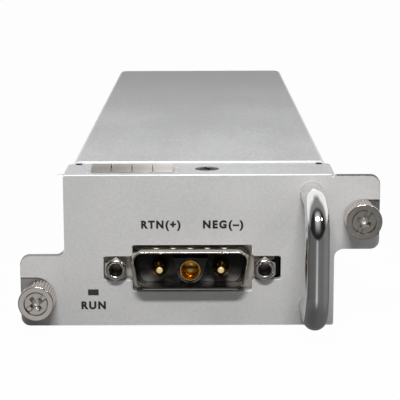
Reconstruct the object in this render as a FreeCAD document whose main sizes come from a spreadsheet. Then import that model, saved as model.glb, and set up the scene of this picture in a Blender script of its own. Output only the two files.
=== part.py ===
"""A plug-in DC power supply module: a flat sheet-metal case behind an eared front panel with a handle."""
import FreeCAD, Part
import math
import os
import Sketcher
from FreeCAD import Placement, Rotation, Vector

doc = FreeCAD.newDocument("dc_power_module")

# Driving sizes in millimetres. X runs to the right, Y to the rear and Z up.
# Places along Y are measured from the seat, the plane of the rear faces of the panel's ears.
SIZES = {
    # Front panel: a plate with two ears, its top edge bent back into a flange
    "panel_width": 60.5,
    "panel_height": 34.6,
    "panel_thick": 2.0,
    "panel_round": 0.5,
    "bend_round": 0.2,
    "ear_reach": 10.0,
    "ear_height": 16.2,
    "right_ear_drop": 0.33,
    "right_ear_height": 16.72,
    "ear_round": 2.0,
    "flange_inset": 0.1,
    "flange_depth": 12.6,
    "flange_round": 1.3,
    "tongue_depth": 8.0,
    "tongue_inset": 1.5,
    "tongue_slot_width": 1.65,
    "tongue_slot_depth": 1.3,
    "relief_width": 0.9,
    "relief_depth": 0.6,
    "relief_back": 0.5,
    # Film on the panel's face
    "film_thick": 0.3,
    "film_margin": 0.12,
    "film_top_gap": 0.03,
    "film_window_gap": 0.12,
    "film_handle_gap": 0.03,
    "film_slot_gap": 0.05,
    "film_slot_back": 0.65,
    "film_slot_rise": 0.35,
    "film_slot_drop": 0.3,
    # Cover and tray
    "case_inset": 1.05,
    "case_depth": 217.0,
    "cover_sheet": 0.5,
    "cover_lip": 12.0,
    "cover_round": 1.2,
    "corner_round": 3.0,
    "cover_gap": 0.4,
    "fit_gap": 0.1,
    "tray_sheet": 1.0,
    "tray_round": 1.5,
    "tab_width": 30.0,
    "tab_depth": 12.0,
    # Small machine screws
    "thread_radius": 1.5,
    "thread_gap": 0.2,
    "sunk_radius": 2.75,
    "sunk_height": 1.25,
    "sunk_gap": 0.1,
    "pan_radius": 2.0,
    "pan_height": 1.8,
    "flange_screw_x": 1.8,
    "flange_screw_y": 5.96,
    "flange_screw_length": 6.5,
    "cover_screw_front": 40.0,
    "cover_screw_rear": 22.0,
    "cover_screw_drop": 5.5,
    "cover_screw_length": 4.0,
    # Contact fingers on the flange
    "finger_count": 4,
    "finger_width": 4.2,
    "finger_gap": 0.45,
    "finger_left": 6.19,
    "finger_front": 0.6,
    "finger_run": 7.0,
    "finger_rise": 1.45,
    "finger_sheet": 0.15,
    "finger_rail": 1.2,
    "clip_slot_beside": 0.45,
    "clip_slot_width": 0.6,
    "clip_slot_length": 0.7,
    "clip_slot_inset": 0.1,
    # Handle of bent rod
    "handle_inset": 5.1,
    "handle_rise": 4.4,
    "handle_drop": 4.4,
    "handle_rod": 5.2,
    "handle_reach": 16.6,
    "handle_bend": 7.0,
    "handle_tap": 8.0,
    # Captive thumbscrews
    "screw_inset": 4.15,
    "left_screw_z": 6.95,
    "right_screw_drop": 9.4,
    "knob_radius": 3.95,
    "knob_length": 6.8,
    "knob_gap": 0.4,
    "knob_chamfer": 0.35,
    "knob_well_radius": 2.64,
    "knob_well_depth": 1.0,
    "knurl_count": 36,
    "knurl_depth": 0.22,
    "knurl_width": 0.34,
    "head_gap": 0.1,
    "press_gap": 0.05,
    "recess_reach": 1.75,
    "recess_width": 0.75,
    "recess_depth": 1.3,
    "slot_width": 1.1,
    "slot_depth": 0.4,
    "left_slot_angle": 38.0,
    "right_slot_angle": 63.0,
    "neck_radius": 1.2,
    "neck_gap": 0.05,
    "screw_travel": 4.0,
    "washer_radius": 2.9,
    "washer_thick": 0.8,
    "washer_gap": 0.2,
    "stud_length": 3.4,
    # Power connector: a D-shaped plug with three heavy contacts
    "plug_left": 6.01,
    "plug_z": 13.32,
    "plug_setback": 0.8,
    "plug_flange_end": 2.91,
    "plug_flange_height": 12.5,
    "plug_sheet": 0.8,
    "shell_width": 25.25,
    "shell_height": 8.64,
    "shell_angle": 10.0,
    "shell_round": 2.6,
    "shell_reach": 5.9,
    "shell_wall": 0.5,
    "dimple_count": 5,
    "dimple_spacing": 3.82,
    "dimple_radius": 0.65,
    "dimple_depth": 0.2,
    "dimple_back": 3.8,
    "window_shift": 0.42,
    "window_gap_side": 0.8,
    "window_gap_top": 0.95,
    "window_arm_gap": 0.33,
    "window_jack_gap": 0.32,
    "window_round": 0.6,
    "wall_gap": 0.3,
    "jack_beside": 4.035,
    "jack_flats": 4.76,
    "jack_length": 4.8,
    "jack_tap": 1.2,
    "jack_tap_depth": 4.0,
    "jack_stud": 1.4,
    "jack_stud_length": 4.0,
    "jack_gap": 0.1,
    "jack_chamfer": 0.45,
    "contact_spacing": 6.86,
    "contact_setback": 0.7,
    "contact_gap": 0.05,
    "pin_radius": 1.8,
    "pin_tip_radius": 0.7,
    "pin_nose": 1.8,
    "socket_radius": 2.35,
    "socket_bore": 2.0,
    "socket_depth": 6.0,
    "block_radius": 3.0,
    "block_top_width": 7.9,
    "block_top": 2.75,
    "block_setback": 1.1,
    "body_floor": 0.4,
    "body_gap": 0.05,
    "body_depth": 9.0,
    "body_lift": 0.9,
    "tail_radius": 1.2,
    "tail_back": 3.0,
    "socket_tail_back": 6.0,
    "tail_drop": 1.2,
    "bracket_width": 6.8,
    "bracket_sheet": 1.0,
    "bracket_foot": 8.0,
    "bracket_rise": 4.0,
    # Lamp window
    "lamp_beside": 2.28,
    "lamp_width": 2.4,
    "lamp_height": 1.4,
    "lamp_gap": 0.05,
    "lamp_lift": 0.8,
    "lamp_depth": 2.0,
    "lamp_side": 3.0,
    "pipe_length": 5.0,
    # Circuit board and what carries it
    "board_thick": 1.6,
    "board_side_gap": 0.9,
    "board_front": 3.0,
    "board_rear_gap": 5.0,
    "standoff_height": 4.4,
    "standoff_radius": 2.5,
    "standoff_inset": 4.5,
    "standoff_front": 20.0,
    "standoff_rear": 18.0,
    "board_screw_length": 5.0,
    "sheet_thick": 0.25,
    "sheet_gap": 0.5,
    # Circuit, set out in a row from the front of the board to its rear
    "part_gap": 4.5,
    "fuse_x": -15.0,
    "fuse_y": 28.0,
    "fuse_radius": 3.2,
    "fuse_length": 22.0,
    "fuse_cap": 5.5,
    "fuse_lift": 1.2,
    "clip_sheet": 0.6,
    "clip_length": 4.0,
    "surge_x": 10.0,
    "surge_y": 37.0,
    "surge_spacing": 8.0,
    "surge_radius": 7.0,
    "surge_thick": 4.5,
    "choke_outer": 12.0,
    "choke_inner": 6.5,
    "choke_height": 9.0,
    "winding_thick": 1.4,
    "winding_arc": 130.0,
    "winding_gap": 0.1,
    "film_cap_x": 13.0,
    "film_cap_width": 18.0,
    "film_cap_depth": 9.0,
    "film_cap_height": 16.0,
    "bulk_edge": 2.0,
    "bulk_gap": 2.0,
    "bulk_height": 20.0,
    "bulk_count": 3,
    "brick_width": 36.8,
    "brick_height": 11.0,
    "sink_base": 3.0,
    "sink_fin_height": 7.0,
    "sink_fin_width": 1.4,
    "sink_fin_count": 8,
    "out_cap_gap": 1.3,
    "out_cap_radius": 5.0,
    "out_cap_height": 14.0,
    # Blind-mating connector at the rear
    "rear_width": 40.0,
    "rear_height": 12.0,
    "rear_seat": 12.0,
    "rear_reach": 5.0,
    "rear_gap": 0.4,
    "rear_count": 6,
    "rear_spacing": 6.0,
    "rear_slot_width": 1.6,
    "rear_slot_height": 8.0,
    "rear_slot_depth": 9.0,
    "rear_blade": 0.8,
    "rear_blade_setback": 1.0,
}

sheet = doc.addObject("Spreadsheet::Sheet", "Dims")
for row, (alias, number) in enumerate(SIZES.items(), start=1):
    sheet.set(f"A{row}", alias)
    sheet.set(f"B{row}", str(number))
    sheet.setAlias(f"B{row}", alias)
doc.recompute()


class Size:
    """A length together with the spreadsheet formula that it comes from."""

    def __init__(self, value, formula):
        self.value = value
        self.formula = formula

    def __add__(self, other):
        other = as_size(other)
        return Size(self.value + other.value, f"({self.formula} + {other.formula})")

    def __sub__(self, other):
        other = as_size(other)
        return Size(self.value - other.value, f"({self.formula} - {other.formula})")

    def __mul__(self, other):
        other = as_size(other)
        return Size(self.value * other.value, f"({self.formula} * {other.formula})")

    def __truediv__(self, other):
        other = as_size(other)
        return Size(self.value / other.value, f"({self.formula} / {other.formula})")

    def __rsub__(self, other):
        return as_size(other) - self

    def __neg__(self):
        return Size(-self.value, f"(0 - {self.formula})")

    __radd__ = __add__
    __rmul__ = __mul__


def as_size(item):
    """A plain number becomes a size whose formula is that number."""
    if isinstance(item, Size):
        return item
    return Size(float(item), repr(float(item)))


class Sheet:
    """Gives each cell of the sheet by its alias, as in dim.panel_width."""

    def __getattr__(self, alias):
        return Size(float(sheet.get(alias)), "Dims." + alias)


dim = Sheet()
ZERO = as_size(0)


def tangent(angle):
    """Tangent of a size in degrees."""
    return Size(math.tan(math.radians(angle.value)), f"tan({angle.formula} * 1 deg)")


def cosine(angle):
    """Cosine of a size in degrees."""
    return Size(math.cos(math.radians(angle.value)), f"cos({angle.formula} * 1 deg)")


def bind(item, **properties):
    """Sets properties of an object and ties each to its formula."""
    for name, size in properties.items():
        size = as_size(size)
        setattr(item, name, size.value)
        item.setExpression(name, size.formula)


def put(item, x=0, y=0, z=0, turn=None):
    """Ties an object's place to formulas and turns it by a fixed rotation."""
    place = [as_size(x), as_size(y), as_size(z)]
    item.Placement = Placement(Vector(*[size.value for size in place]), turn or Rotation())
    for letter, size in zip("xyz", place):
        item.setExpression(f"Placement.Base.{letter}", size.formula)
    return item


# Turns that lay an upright shape, whose axis is +Z, along another axis
FULL_TURN = 360
QUARTER_TURN = 90
TO_FRONT = Rotation(Vector(1, 0, 0), QUARTER_TURN)
TO_REAR = Rotation(Vector(1, 0, 0), -QUARTER_TURN)
TO_RIGHT = Rotation(Vector(0, 1, 0), QUARTER_TURN)
TO_LEFT = Rotation(Vector(0, 1, 0), -QUARTER_TURN)
DOWN = Rotation(Vector(1, 0, 0), 2 * QUARTER_TURN)

# Lengths that several pieces share
panel_half = dim.panel_width / 2
panel_front = -dim.panel_thick
film_front = panel_front - dim.film_thick
ear_edge = panel_half + dim.ear_reach
screw_x = ear_edge - dim.screw_inset
right_screw_z = dim.panel_height - dim.right_screw_drop
right_ear_top = dim.panel_height - dim.right_ear_drop
right_ear_low = right_ear_top - dim.right_ear_height
relief_left = panel_half - dim.relief_width
relief_low = dim.panel_height - dim.relief_depth
cover_half = panel_half - dim.case_inset
cover_top = dim.panel_height + dim.cover_sheet
cover_front = dim.flange_depth + dim.cover_gap
flange_half = panel_half - dim.flange_inset
flange_under = dim.panel_height - dim.panel_thick
tray_half = cover_half - dim.cover_sheet - dim.fit_gap
tray_inner = tray_half - dim.tray_sheet
tray_top = flange_under - dim.fit_gap
tray_rear = dim.case_depth - dim.cover_sheet - dim.fit_gap
tray_rear_inner = tray_rear - dim.tray_sheet
handle_x = panel_half - dim.handle_inset
handle_low = dim.handle_rise
handle_high = dim.panel_height - dim.handle_drop
clear_radius = dim.thread_radius + dim.thread_gap
knob_rear = panel_front - dim.knob_gap
film_slot = dim.knob_radius + dim.film_slot_gap
finger_start = -panel_half + dim.finger_left
finger_step = dim.finger_width + dim.finger_gap
finger_end = finger_start + finger_step * dim.finger_count - dim.finger_gap
finger_rear = dim.finger_front + dim.finger_run
jack_spacing = dim.shell_width + 2 * dim.jack_beside
plug_flange_width = jack_spacing + 2 * dim.plug_flange_end
plug_flange_left = dim.plug_left - tray_inner
plug_x = plug_flange_left + plug_flange_width / 2
lamp_x = plug_flange_left - dim.lamp_beside
plug_face = dim.plug_setback
shell_rim = plug_face - dim.shell_reach
flange_back = plug_face + dim.plug_sheet
body_back = flange_back + dim.body_depth
contact_face = shell_rim + dim.contact_setback
board_under = dim.tray_sheet + dim.standoff_height
board_top = board_under + dim.board_thick
board_half = tray_inner - dim.board_side_gap
board_rear = tray_rear_inner - dim.board_rear_gap
lamp_z = board_top + dim.lamp_lift
rear_face = dim.case_depth + dim.rear_reach
rear_front = board_rear - dim.rear_seat

# The middle of the whole length comes to Y = 0, so that the origin lies under the middle of the object
front_reach = dim.panel_thick + dim.handle_reach + dim.handle_rod / 2
shift = (front_reach - rear_face) / 2

# Two places that lie closer than this are the same place
SAME = 1e-4

parts = []


def node(item, label, placed=False):
    """Names a finished sub-part and moves it from the seat to its place in the frame."""
    item.Label = label
    if not placed:
        put(item, 0, shift, 0)
    parts.append(item)
    return item


# Drawing in sketches

def origin_plane(body, role):
    return next(f for f in body.Origin.OriginFeatures if f.Role == role)


def sketch(body, name, role, offset):
    """An empty sketch on one of the body's own planes, moved along the plane's normal."""
    drawing = body.newObject("Sketcher::SketchObject", name)
    drawing.AttachmentSupport = [(origin_plane(body, role), "")]
    drawing.MapMode = "FlatFace"
    offset = as_size(offset)
    drawing.AttachmentOffset = Placement(Vector(0, 0, offset.value), Rotation())
    drawing.setExpression("AttachmentOffset.Base.z", offset.formula)
    return drawing


def front_sketch(body, name, y=0):
    """Drawn in X and Z and seen from the front, so that a pad grows forwards."""
    return sketch(body, name, "XZ_Plane", -as_size(y))


def top_sketch(body, name, z=0):
    """Drawn in X and Y and seen from above, so that a pad grows upwards."""
    return sketch(body, name, "XY_Plane", z)


def tie(drawing, kind, geometry, point, size):
    """Adds one dimension to a sketch and ties it to its formula."""
    if point is None:
        index = drawing.addConstraint(Sketcher.Constraint(kind, geometry, size.value))
    else:
        index = drawing.addConstraint(Sketcher.Constraint(kind, geometry, point, size.value))
    drawing.setExpression(f"Constraints[{index}]", size.formula)


def polygon(drawing, corners):
    """A closed outline of straight lines, with each corner placed from the sketch's origin."""
    corners = [(as_size(across), as_size(up)) for across, up in corners]
    points = [Vector(across.value, up.value, 0) for across, up in corners]
    first = None
    for start, end in zip(points, points[1:] + points[:1]):
        line = drawing.addGeometry(Part.LineSegment(start, end), False)
        first = line if first is None else first
    count = len(points)
    for index in range(count):
        following = first + (index + 1) % count
        drawing.addConstraint(Sketcher.Constraint("Coincident", first + index, 2, following, 1))
    for index, (across, up) in enumerate(corners):
        tie(drawing, "DistanceX", first + index, 1, across)
        tie(drawing, "DistanceY", first + index, 1, up)


def rectangle(drawing, left, low, right, high):
    polygon(drawing, [(left, low), (right, low), (right, high), (left, high)])


def circle(drawing, across, up, radius):
    across, up, radius = as_size(across), as_size(up), as_size(radius)
    centre = Vector(across.value, up.value, 0)
    ring = drawing.addGeometry(Part.Circle(centre, Vector(0, 0, 1), radius.value), False)
    tie(drawing, "Radius", ring, None, radius)
    tie(drawing, "DistanceX", ring, 3, across)
    tie(drawing, "DistanceY", ring, 3, up)


# Features of a body

def new_body(name):
    return doc.addObject("PartDesign::Body", name)


def pad(body, drawing, length, turned=False):
    feature = body.newObject("PartDesign::Pad", drawing.Name + "_pad")
    feature.Profile = drawing
    feature.Reversed = turned
    bind(feature, Length=length)
    doc.recompute()
    return feature


def pocket(body, drawing, length, turned=False):
    """Cuts against the sketch's normal, or along it when turned, and must take something away."""
    before = body.Shape.Volume
    feature = body.newObject("PartDesign::Pocket", drawing.Name + "_cut")
    feature.Profile = drawing
    feature.Reversed = turned
    bind(feature, Length=length)
    doc.recompute()
    if body.Shape.Volume >= before:
        raise RuntimeError(f"{feature.Name} cuts nothing")
    return feature


def revolve(body, drawing):
    """Turns an outline about the upright axis of its sketch."""
    feature = body.newObject("PartDesign::Revolution", drawing.Name + "_turned")
    feature.Profile = drawing
    feature.ReferenceAxis = (drawing, ["V_Axis"])
    feature.Angle = FULL_TURN
    doc.recompute()
    return feature


def edges_along(shape, axis, keep):
    """Names of the straight edges along an axis, such as (0, 1, 0), whose middle passes a test."""
    names = []
    for index, edge in enumerate(shape.Edges, start=1):
        if len(edge.Vertexes) != 2 or edge.Curve.TypeId != "Part::GeomLine":
            continue
        run = edge.Vertexes[1].Point - edge.Vertexes[0].Point
        along = abs(run.dot(Vector(*axis)))
        middle = (edge.Vertexes[0].Point + edge.Vertexes[1].Point) / 2
        if abs(along - run.Length) < SAME and keep(middle):
            names.append(f"Edge{index}")
    return names


def soften(body, radius, axis, keep, kind="Fillet"):
    """Rounds or bevels the straight edges of a body's last feature along an axis."""
    base = body.Tip
    names = edges_along(base.Shape, axis, keep)
    feature = body.newObject("PartDesign::" + kind, f"{base.Name}_{kind.lower()}")
    feature.Base = (base, names)
    if kind == "Fillet":
        bind(feature, Radius=radius)
    else:
        bind(feature, Size=radius)
    doc.recompute()
    return feature


def near(value, size):
    return abs(value - as_size(size).value) < SAME


def hollow(body, wall, open_face):
    """Shells a body inwards and leaves out the faces that pass a test."""
    base = body.Tip
    names = [f"Face{i}" for i, face in enumerate(base.Shape.Faces, start=1) if open_face(face)]
    feature = body.newObject("PartDesign::Thickness", base.Name + "_shell")
    feature.Base = (base, names)
    feature.Reversed = True
    feature.Join = "Intersection"
    bind(feature, Value=wall)
    doc.recompute()
    return feature


def repeat(body, original, step, count):
    """A row of copies of a feature along X."""
    feature = body.newObject("PartDesign::LinearPattern", original.Name + "_row")
    feature.Originals = [original]
    feature.Direction = (next(f for f in body.Origin.OriginFeatures if f.Role == "X_Axis"), [""])
    bind(feature, Length=step * (count - 1))
    feature.Occurrences = int(count.value)
    feature.setExpression("Occurrences", count.formula)
    body.Tip = feature
    doc.recompute()
    return feature


def ring_of(body, original, count):
    """Copies of a feature evenly round the upright axis."""
    feature = body.newObject("PartDesign::PolarPattern", original.Name + "_ring")
    feature.Originals = [original]
    feature.Axis = (next(f for f in body.Origin.OriginFeatures if f.Role == "Z_Axis"), [""])
    feature.Angle = FULL_TURN
    feature.Occurrences = int(count.value)
    feature.setExpression("Occurrences", count.formula)
    body.Tip = feature
    doc.recompute()
    return feature


# Simple solids

def block(name, left, front, low, right, rear, high):
    """A box between two corners."""
    left, front, low = as_size(left), as_size(front), as_size(low)
    item = doc.addObject("Part::Box", name)
    bind(item, Length=right - left, Width=rear - front, Height=high - low)
    return put(item, left, front, low)


def cylinder(name, radius, length, x, y, z, turn=None):
    item = doc.addObject("Part::Cylinder", name)
    bind(item, Radius=radius, Height=length)
    return put(item, x, y, z, turn)


def cone(name, radius, end_radius, length, x, y, z, turn=None):
    item = doc.addObject("Part::Cone", name)
    bind(item, Radius1=radius, Radius2=end_radius, Height=length)
    return put(item, x, y, z, turn)


def ball(name, radius, x, y, z):
    item = doc.addObject("Part::Sphere", name)
    bind(item, Radius=radius)
    return put(item, x, y, z)


def cut(name, base, tools):
    tool = tools[0] if len(tools) == 1 else fuse(name + "_tools", tools)
    item = doc.addObject("Part::Cut", name)
    item.Base = base
    item.Tool = tool
    doc.recompute()
    return item


def fuse(name, shapes):
    item = doc.addObject("Part::MultiFuse", name)
    item.Shapes = shapes
    item.Refine = True
    doc.recompute()
    return item


def group(name, shapes):
    """Several equal pieces that share one node as separate solids."""
    item = doc.addObject("Part::Compound", name)
    item.Links = shapes
    doc.recompute()
    return item


def sunk_screw(name, length, x, y, z, turn, gap=0):
    """A countersunk screw from the plane of its head inwards, or with a gap the hole for one."""
    head = dim.sunk_radius + gap
    thread = dim.thread_radius + gap
    return fuse(name, [
        cone(name + "_head", head, thread, dim.sunk_height, x, y, z, turn),
        cylinder(name + "_thread", thread, length, x, y, z, turn),
    ])


# Front panel

def panel_outline(drawing, margin, top):
    """The eared plate seen from the front, drawn in by a margin, with its own top edge.

    A notch parts the top edge, which bends back, from the right ear, which stays flat."""
    left_ear = dim.ear_height - margin
    right_ear = right_ear_low + margin
    ear_top = right_ear_top - margin
    polygon(drawing, [
        (-ear_edge + margin, margin),
        (panel_half - margin, margin),
        (panel_half - margin, right_ear),
        (ear_edge - margin, right_ear),
        (ear_edge - margin, ear_top),
        (panel_half, ear_top),
        (panel_half, relief_low - margin),
        (relief_left, relief_low - margin),
        (relief_left, top),
        (-panel_half + margin, top),
        (-panel_half + margin, left_ear),
        (-ear_edge + margin, left_ear),
    ])


def round_outline(body, margin, top):
    """Rounds the ears, the inner corners beside them and the plain corners of the plate."""
    low_left = -ear_edge + margin
    right = ear_edge - margin
    left_ear = dim.ear_height - margin
    right_ear = right_ear_low + margin

    def at_ear(point):
        on_side = near(point.x, low_left) or near(point.x, right)
        on_left = near(point.x, -panel_half + margin) and near(point.z, left_ear)
        on_right = near(point.x, panel_half - margin) and near(point.z, right_ear)
        return on_side or on_left or on_right

    def at_plain(point):
        on_left = near(point.x, -panel_half + margin) and near(point.z, top)
        on_right = near(point.x, panel_half - margin) and near(point.z, margin)
        return on_left or on_right

    soften(body, dim.ear_round, (0, 1, 0), at_ear)
    soften(body, dim.panel_round, (0, 1, 0), at_plain)


window_x = plug_x + dim.window_shift
window_half = dim.shell_width / 2 + dim.window_gap_side
window_rise = dim.shell_height / 2 + dim.window_gap_top
arm_half = plug_flange_width / 2 + dim.window_arm_gap
arm_rise = dim.jack_flats / 2 + dim.window_jack_gap


def plug_window(body, y, depth, gap):
    """The cross-shaped window for the connector's shell and lock screws, wider by a gap."""
    drawing = front_sketch(body, body.Name + "_window", y)
    polygon(drawing, [
        (window_x - window_half - gap, dim.plug_z - window_rise - gap),
        (window_x + window_half + gap, dim.plug_z - window_rise - gap),
        (window_x + window_half + gap, dim.plug_z - arm_rise - gap),
        (window_x + arm_half + gap, dim.plug_z - arm_rise - gap),
        (window_x + arm_half + gap, dim.plug_z + arm_rise + gap),
        (window_x + window_half + gap, dim.plug_z + arm_rise + gap),
        (window_x + window_half + gap, dim.plug_z + window_rise + gap),
        (window_x - window_half - gap, dim.plug_z + window_rise + gap),
        (window_x - window_half - gap, dim.plug_z + arm_rise + gap),
        (window_x - arm_half - gap, dim.plug_z + arm_rise + gap),
        (window_x - arm_half - gap, dim.plug_z - arm_rise - gap),
        (window_x - window_half - gap, dim.plug_z - arm_rise - gap),
    ])
    pocket(body, drawing, depth)
    reach = (arm_half + gap).value
    rise = (window_rise + gap).value

    def in_window(point):
        inside_x = abs(point.x - window_x.value) < reach + SAME
        return inside_x and abs(point.z - dim.plug_z.value) < rise + SAME

    soften(body, dim.window_round, (0, 1, 0), in_window)


def lamp_window(drawing):
    half = dim.lamp_width / 2
    rise = dim.lamp_height / 2
    rectangle(drawing, lamp_x - half, lamp_z - rise, lamp_x + half, lamp_z + rise)


def make_front_panel():
    body = new_body("panel_plate")
    plate = front_sketch(body, "plate")
    panel_outline(plate, ZERO, dim.panel_height)
    pad(body, plate, dim.panel_thick)
    round_outline(body, ZERO, dim.panel_height)

    flange = top_sketch(body, "flange", dim.panel_height)
    tongue_half = tray_half - dim.tongue_inset
    tongue_rear = dim.flange_depth + dim.tongue_depth
    polygon(flange, [
        (-flange_half, panel_front / 2),
        (flange_half, panel_front / 2),
        (flange_half, dim.flange_depth),
        (tongue_half, dim.flange_depth),
        (tongue_half, tongue_rear),
        (-tongue_half, tongue_rear),
        (-tongue_half, dim.flange_depth),
        (-flange_half, dim.flange_depth),
    ])
    pad(body, flange, dim.panel_thick, turned=True)

    def flange_corner(point):
        return near(abs(point.x), flange_half) and near(point.y, dim.flange_depth)

    soften(body, dim.flange_round, (0, 0, 1), flange_corner)
    slots = top_sketch(body, "tongue_slots", dim.panel_height)
    slot_front = dim.flange_depth - dim.tongue_slot_depth
    for left in (-tongue_half - dim.tongue_slot_width, tongue_half):
        rectangle(slots, left, slot_front, left + dim.tongue_slot_width, dim.flange_depth + dim.fit_gap)
    left_clip = finger_start - dim.clip_slot_beside - dim.clip_slot_width
    right_clip = finger_end + dim.clip_slot_beside
    for left in (left_clip, right_clip):
        for front in (dim.finger_front + dim.clip_slot_inset,
                      finger_rear - dim.clip_slot_inset - dim.clip_slot_length):
            rectangle(slots, left, front, left + dim.clip_slot_width, front + dim.clip_slot_length)
    pocket(body, slots, dim.panel_thick)

    relief = front_sketch(body, "relief", panel_front)
    rectangle(relief, relief_left, relief_low, panel_half, dim.panel_height + dim.fit_gap)
    pocket(body, relief, dim.panel_thick + dim.relief_back)

    plug_window(body, panel_front, dim.panel_thick, ZERO)
    holes = front_sketch(body, "holes", panel_front)
    lamp_window(holes)
    for z in (handle_low, handle_high):
        circle(holes, handle_x, z, clear_radius)
    circle(holes, -screw_x, dim.left_screw_z, clear_radius)
    circle(holes, screw_x, right_screw_z, clear_radius)
    pocket(body, holes, dim.panel_thick)

    def top_bend(point):
        on_front = near(point.y, panel_front) and near(point.z, dim.panel_height)
        return on_front and point.x < relief_left.value

    soften(body, dim.bend_round, (1, 0, 0), top_bend)
    sink = sunk_screw("flange_sink", dim.flange_screw_length, dim.flange_screw_x, dim.flange_screw_y,
                      dim.panel_height, DOWN, dim.sunk_gap)
    return node(cut("front_panel", body, [sink]), "front_panel")


def make_panel_overlay():
    body = new_body("overlay_film")
    film = front_sketch(body, "film", panel_front)
    margin = dim.film_margin
    top = dim.panel_height - dim.bend_round - dim.film_top_gap
    panel_outline(film, margin, top)
    pad(body, film, dim.film_thick)
    round_outline(body, margin, top)
    plug_window(body, film_front, dim.film_thick, dim.film_window_gap)
    holes = front_sketch(body, "film_holes", film_front)
    lamp_window(holes)
    for z in (handle_low, handle_high):
        circle(holes, handle_x, z, dim.handle_rod / 2 + dim.film_handle_gap)
    pocket(body, holes, dim.film_thick)
    left_z = dim.left_screw_z + dim.film_slot_rise
    right_z = right_screw_z - dim.film_slot_drop
    for name, side, z in (("left", -1, left_z), ("right", 1, right_z)):
        slot = front_sketch(body, name + "_film_slot", film_front)
        inner = side * (screw_x + dim.film_slot_back)
        outer = side * (ear_edge + film_slot)
        ends = (outer, inner) if side < 0 else (inner, outer)
        rectangle(slot, ends[0], z - film_slot, ends[1], z + film_slot)
        pocket(body, slot, dim.film_thick)
        end = front_sketch(body, name + "_film_end", film_front)
        circle(end, inner, z, film_slot)
        pocket(body, end, dim.film_thick)
    return node(body, "panel_overlay")


# Case

cover_screw_z = cover_top - dim.cover_screw_drop
cover_screw_places = [
    (side, y)
    for side in (-1, 1)
    for y in (dim.cover_screw_front, dim.case_depth - dim.cover_screw_rear)
]


def cover_screw_set(name, gap):
    """The countersunk screws of the cover's side lips, or with a gap their holes."""
    screws = []
    for index, (side, y) in enumerate(cover_screw_places):
        turn = TO_LEFT if side > 0 else TO_RIGHT
        screws.append(sunk_screw(f"{name}_{index}", dim.cover_screw_length, side * cover_half, y,
                                 cover_screw_z, turn, gap))
    return screws


def tray_block(name, wall):
    """The outside of the tray, or with a wall its inside, as a solid that is open to nothing."""
    body = new_body(name)
    outline = top_sketch(body, name + "_outline", wall)
    rectangle(outline, wall - tray_half, wall, tray_half - wall, tray_rear - wall)
    pad(body, outline, tray_top - wall)
    soften(body, dim.corner_round - wall, (0, 0, 1), lambda point: near(point.y, tray_rear - wall))
    soften(body, dim.tray_round - wall, (0, 1, 0), lambda point: near(point.z, wall))
    return body


def make_tray():
    body = tray_block("tray_outside", ZERO)
    gap = dim.wall_gap
    left = plug_x - plug_flange_width / 2 - gap
    right = window_x + arm_half + gap
    rise = dim.plug_flange_height / 2 + gap
    openings = front_sketch(body, "openings")
    rectangle(openings, left, dim.plug_z - rise, right, dim.plug_z + rise)
    for z in (handle_low, handle_high):
        circle(openings, handle_x, z, clear_radius)
    pocket(body, openings, dim.tray_sheet)
    lamp_half = dim.lamp_width / 2 + gap
    lamp_rise = dim.lamp_height / 2 + gap
    lamp_hole = front_sketch(body, "lamp_hole")
    rectangle(lamp_hole, lamp_x - lamp_half, lamp_z - lamp_rise,
              lamp_x + lamp_half, lamp_z + lamp_rise)
    pocket(body, lamp_hole, dim.tray_sheet)
    rear = front_sketch(body, "rear_opening", tray_rear_inner)
    rear_half = dim.rear_width / 2 + dim.rear_gap
    rear_top = board_top + dim.rear_height + dim.rear_gap
    rectangle(rear, -rear_half, board_under - dim.rear_gap, rear_half, rear_top)
    pocket(body, rear, dim.tray_sheet)

    folded = cut("tray_folded", body, [tray_block("tray_inside", dim.tray_sheet)])
    tab_left = dim.flange_screw_x - dim.tab_width / 2
    tab = block("tray_tab", tab_left, dim.tray_sheet / 2, tray_top - dim.tray_sheet,
                tab_left + dim.tab_width, dim.tray_sheet + dim.tab_depth, tray_top)
    tap = cylinder("tray_tap", dim.thread_radius + dim.press_gap, dim.tray_sheet,
                   dim.flange_screw_x, dim.flange_screw_y, tray_top - dim.tray_sheet)
    holes = cover_screw_set("tray_hole", dim.press_gap)
    return node(cut("tray", fuse("tray_with_tab", [folded, tab]), [tap] + holes), "tray")


def make_top_cover():
    body = new_body("cover_sheet_metal")
    lid = top_sketch(body, "lid", cover_top - dim.cover_lip)
    rectangle(lid, -cover_half, cover_front, cover_half, dim.case_depth)
    pad(body, lid, dim.cover_lip)
    soften(body, dim.corner_round, (0, 0, 1), lambda point: near(point.y, dim.case_depth))

    base = body.Tip
    names = []
    for index, edge in enumerate(base.Shape.Edges, start=1):
        level = all(near(vertex.Z, cover_top) for vertex in edge.Vertexes)
        at_front = all(near(vertex.Y, cover_front) for vertex in edge.Vertexes)
        if level and not at_front:
            names.append(f"Edge{index}")
    bend = body.newObject("PartDesign::Fillet", "cover_bend")
    bend.Base = (base, names)
    bind(bend, Radius=dim.cover_round)
    doc.recompute()

    def is_open(face):
        middle = face.CenterOfMass
        return near(middle.z, cover_top - dim.cover_lip) or near(middle.y, cover_front)

    hollow(body, dim.cover_sheet, is_open)
    return node(cut("top_cover", body, cover_screw_set("cover_hole", dim.sunk_gap)), "top_cover")


def make_case_screws():
    node(group("cover_screws", cover_screw_set("cover_screw", ZERO)), "cover_screws")
    node(sunk_screw("flange_screw", dim.flange_screw_length, dim.flange_screw_x, dim.flange_screw_y,
                    dim.panel_height, DOWN), "flange_screw")


# Contact fingers: each is an arched leaf, and a rail at the rear joins them

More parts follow.
